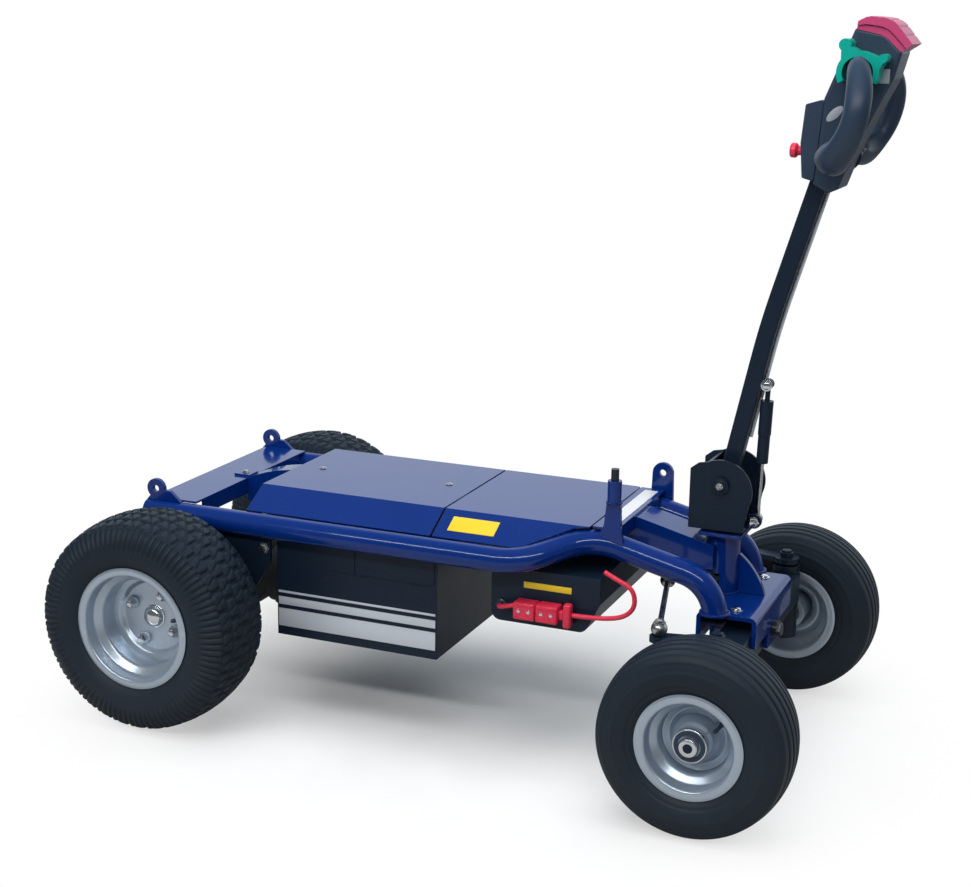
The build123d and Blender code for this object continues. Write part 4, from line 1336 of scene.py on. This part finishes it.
@dataclass
class Power:
    """The battery plug, its free lead and the grommet of its short lead.

    The plug lies against the electronics box, whose side is at face_y. Halves are the (low, high) places of
    its two blocks along X.
    """

    face_y: float = -0.18025
    halves: tuple = ((0.1370, 0.1775), (0.1795, 0.2200))
    half_z: tuple = (0.2620, 0.2940)
    half_deep: float = 0.0300
    rib_heights: tuple = (0.2665, 0.2895)
    rib_half: float = 0.0016
    rib_inset: float = 0.004
    rivet_inset: float = 0.011
    rivet_height: float = 0.2785
    grommet: tuple = (0.104, 0.276)
    lead_radius: float = 0.00425
    route: tuple = (
        (0.244, -0.19525, 0.280), (0.316, -0.19525, 0.281), (0.358, -0.19525, 0.304),
        (0.356, -0.19525, 0.344), (0.322, -0.19525, 0.358), (0.300, -0.18925, 0.366),
    )

    def plug(self) -> tuple[Form, Form]:
        """Two rounded halves with grip ribs, the web between them, neck and cross handle; and the rivets.

        Returns:
            The red form and the bright rivets.
        """
        y = self.face_y
        red, rivets = Form(), Form()
        head = round_line([(0.0, 0.0), (0.0034, 0.0), (0.0034, 0.0006), (0.0, 0.0014)], [0.0002, 0.0004])
        for low, high in self.halves:
            foot, top = (low, y - self.half_deep, self.half_z[0]), (high, y - 0.0002, self.half_z[1])
            red.add(rounded_box(foot, top, 0.0032, 5))
            for z in self.rib_heights:
                foot = (low + self.rib_inset, y - 0.0312, z - self.rib_half)
                top = (high - self.rib_inset, y - 0.0285, z + self.rib_half)
                red.add(rounded_box(foot, top, 0.0009, 3))
            for x in (low + self.rivet_inset, high - self.rivet_inset):
                rivets.add(lathe(head, (x, y - 0.0299, self.rivet_height), RIGHT, 24))
        red.add(rounded_box((0.1770, y - 0.0235, 0.2640), (0.1800, y - 0.0010, 0.2920), 0.0010, 3))
        red.add(rounded_box((0.2190, y - 0.0220, 0.2700), (0.2290, y - 0.0080, 0.2860), 0.0025, 4))
        red.add(rounded_box((0.2280, y - 0.0240, 0.2560), (0.2430, y - 0.0060, 0.3000), 0.0045, 5))
        return red, rivets

    def boot(self) -> Form:
        """The grommet that the short lead comes out of, turned about a line across the trolley.

        Returns:
            The grommet.
        """
        outline = [
            (0.0, -0.0004), (0.0105, -0.0004), (0.0105, 0.0030), (0.0078, 0.0045),
            (0.0060, 0.0090), (0.0046, 0.0092), (0.0, 0.0092),
        ]
        profile = round_line(outline, [0.0004, 0.001, 0.001, 0.0008, 0.0004])
        x, z = self.grommet
        return Form().add(lathe(profile, (x, self.face_y, z), RIGHT, 40))

    def lead(self, shop: PaintShop) -> bpy.types.Object:
        """The free lead as one open curve along its route points; the curve's points are read back into an
        array that nothing uses.

        Args:
            shop: the finishes.
        Returns:
            The lead.
        """
        curve = bpy.data.curves.new("plug_lead", "CURVE")
        curve.dimensions = "3D"
        spline = curve.splines.new("NURBS")
        spline.points.add(len(self.route) - 1)
        spline.points.foreach_set("co", np.c_[np.array(self.route), np.ones(len(self.route))].ravel())
        spline.order_u = 3
        spline.use_endpoint_u = True
        spline.resolution_u = 16
        piece = bpy.data.objects.new("plug_lead", curve)
        bpy.context.scene.collection.objects.link(piece)
        gauge = bpy.data.meshes.new_from_object(piece)
        line = np.empty(3 * len(gauge.vertices), np.float32)
        gauge.vertices.foreach_get("co", line)
        bpy.data.meshes.remove(gauge)
        curve.bevel_depth = self.lead_radius
        curve.bevel_resolution = 5
        curve.use_fill_caps = True
        shop.mount(piece, "red_plastic", "chassis", "power_lead")
        return piece

    def build(self, shop: PaintShop) -> list:
        """Makes the plug, lead and grommet.

        Args:
            shop: the finishes.
        Returns:
            The new pieces.
        """
        red, rivets = self.plug()
        return [
            shop.mount(red.piece("plug_halves"), "red_plastic", "chassis", "power_connector"),
            shop.mount(rivets.piece("plug_rivets"), "chrome", "chassis"),
            shop.mount(self.boot().piece("lead_grommet"), "black_plastic", "chassis"),
            self.lead(shop),
        ]


@dataclass
class Controls:
    """The head's guard bar and buttons, the stop knob and the strip on the tiller.

    Run is the tiller's centre line, and the bar's inner and outer arches are lines too, all as (x, z) points.
    """

    run: tuple = ((0.464, 0.520), (0.520, 0.790), (0.594, 1.046))
    run_radius: float = 1.5
    strip_off: float = 0.0177
    strip_y: float = 0.0105
    strip_z: tuple = (0.585, 1.028)
    strip_radius: float = 0.0029
    button_spot: tuple = (0.6175, 0.0419, 1.1525)
    button_half: tuple = (0.0170, 0.0072)
    button_slant: float = math.radians(44.0)
    patch_x: tuple = (0.686, 0.702)
    patch_y: tuple = (0.0415, 0.0436)
    patch_z: tuple = (1.203, 1.226)
    inner_arch: tuple = ((0.6440, 1.2872), (0.6890, 1.2785), (0.7165, 1.2528))
    inner_radii: tuple = (0.045,)
    outer_arch: tuple = ((0.6465, 1.3005), (0.6620, 1.3085), (0.7020, 1.3055), (0.7350, 1.2655))
    outer_radii: tuple = (0.018, 0.040)
    grooves: float = 6.0
    groove_share: float = 0.06
    groove_half: float = 0.12
    groove_range: tuple = (0.08, 0.92)
    stop_foot: Point = (0.5655, 0.0, 1.087)
    stop_axis: Point = (-1.0, 0.0, 0.04)

    def strip(self) -> Form:
        """A thin bright strip along the tiller's front face, beside its middle: a tube off the centre line.

        Returns:
            The strip.
        """
        low, high = self.strip_z
        line = round_line(self.run, [self.run_radius], 24)
        along = unit(np.gradient(line, axis=0))
        front = line + np.stack([along[:, 1], -along[:, 0]], -1) * self.strip_off
        keep = front[(front[:, 1] > low) & (front[:, 1] < high)]
        first, last = ([[np.interp(z, front[:, 1], front[:, 0]), z]] for z in (low, high))
        flat = np.concatenate([first, keep, last])
        path = np.stack([flat[:, 0], np.full(len(flat), self.strip_y), flat[:, 1]], -1)
        return Form().add(tube(path, self.strip_radius, LEFT, 16))

    def buttons(self) -> Form:
        """On both sides of the head, an oval button, which is a dome stretched along its slant, and a patch.

        Returns:
            The buttons and patches.
        """
        form = Form()
        dome = round_line([(0.0, -0.0010), (1.0, -0.0010), (1.0, 0.0012), (0.0, 0.0030)], [0.0001, 0.0008])
        long, wide = self.button_half
        sine, cosine = math.sin(self.button_slant), math.cos(self.button_slant)
        along, across = np.array([cosine, 0.0, sine]), np.array([-sine, 0.0, cosine])
        stretch = long * np.outer(along, along) + wide * np.outer(across, across) + np.diag(LEFT)
        x, y, z = self.button_spot
        for s in SIDES.values():
            form.add(placed(lathe(dome, (0.0, 0.0, 0.0), (0.0, s, 0.0), 40), (x, s * y, z), stretch))
            patch_y = sorted(s * place for place in self.patch_y)
            form.add(rounded_box(*zip(self.patch_x, patch_y, self.patch_z), 0.0010, 4))
        return form

    def bar(self) -> Form:
        """The guard bar: a grooved section stretched between an inner and an outer arch, with cross grooves.

        A point is inner(t) + a * (outer(t) - inner(t)), at y, for (a, y) on the section.

        Returns:
            The bar.
        """
        t = np.linspace(0.0, 1.0, 97)
        low = self.even(round_line(self.inner_arch, self.inner_radii, 24), t)
        high = self.even(round_line(self.outer_arch, self.outer_radii, 24), t)
        half = [
            (0.0, 0.0425), (0.36, 0.0425), (0.37, 0.0402), (0.45, 0.0402),
            (0.46, 0.0460), (1.0, 0.0460), (1.0, 0.0),
        ]
        side = round_line(half, [0.0005, 0.0005, 0.0005, 0.004, 0.02], 5)
        section = np.concatenate([side, (side * [1.0, -1.0])[-2::-1]])
        off = np.abs((t * self.grooves + 0.5) % 1.0 - 0.5)
        first, last = self.groove_range
        dip = self.groove_share * np.maximum(0.0, 1.0 - off / self.groove_half) * (t > first) * (t < last)
        depth = section[:, :1] * (1.0 - dip * (section[:, :1] > 0.7))
        flat = low + depth[..., None] * (high - low)
        width = np.broadcast_to(section[:, 1:], depth.shape)
        points = np.stack([flat[..., 0], width, flat[..., 1]], -1)
        start, end = (np.broadcast_to(points[:, k].mean(0), (len(section), 1, 3)) for k in (0, -1))
        points = np.concatenate([start, points, end], 1)
        return Form().add((points, grid_faces(len(section), points.shape[1], True, False)))

    @staticmethod
    def even(line: np.ndarray, t: np.ndarray) -> np.ndarray:
        """Points of a line at even shares t of its length."""
        reach = np.concatenate([[0.0], np.cumsum(np.linalg.norm(np.diff(line, axis=0), axis=1))])
        return np.stack([np.interp(t * reach[-1], reach, axis) for axis in line.T], -1)

    def stop(self) -> tuple[Form, Form]:
        """The black collar and red mushroom knob of the stop switch, turned about its axis behind the head.

        Returns:
            The collar and the knob.
        """
        collar = [(0.0, -0.0020), (0.0125, -0.0020), (0.0125, 0.0070), (0.0, 0.0080)]
        collar = round_line(collar, [0.0005, 0.0020])
        knob = [
            (0.0, 0.0060), (0.0075, 0.0060), (0.0080, 0.0130),
            (0.0125, 0.0170), (0.0125, 0.0260), (0.0, 0.0290),
        ]
        knob = round_line(knob, [0.0005, 0.0015, 0.002, 0.004])
        return tuple(Form().add(lathe(line, self.stop_foot, self.stop_axis)) for line in (collar, knob))

    def build(self, shop: PaintShop) -> list:
        """Makes the controls.

        Args:
            shop: the finishes.
        Returns:
            The new pieces.
        """
        collar, knob = self.stop()
        return [
            shop.mount(self.strip().piece("tiller_strip"), "silver_film", "tiller"),
            shop.mount(self.buttons().piece("head_buttons"), "grey_plastic", "tiller"),
            # The guard bar's pink tint is painted glare on red plastic
            shop.mount(self.bar().piece("guard_bar"), "red_plastic_painted_glare", "tiller", "safety_bar"),
            shop.mount(collar.piece("stop_collar"), "black_plastic", "tiller"),
            shop.mount(knob.piece("stop_knob"), "red_plastic", "tiller"),
        ]


def main() -> None:
    """Builds the classes in order and reports each piece."""
    logging.basicConfig(level=logging.INFO, format="%(name)s: %(message)s")
    studio = Studio()
    studio.camera()
    studio.floor()
    studio.light()
    shop = PaintShop()
    shop.dress_solids()
    for assembly in (Running(), Fasteners(), Trim(), Power(), Controls()):
        for piece in assembly.build(shop):
            LOG.info("%s, a %s", piece.name, piece.type.lower())


if __name__ == "__main__":
    main()
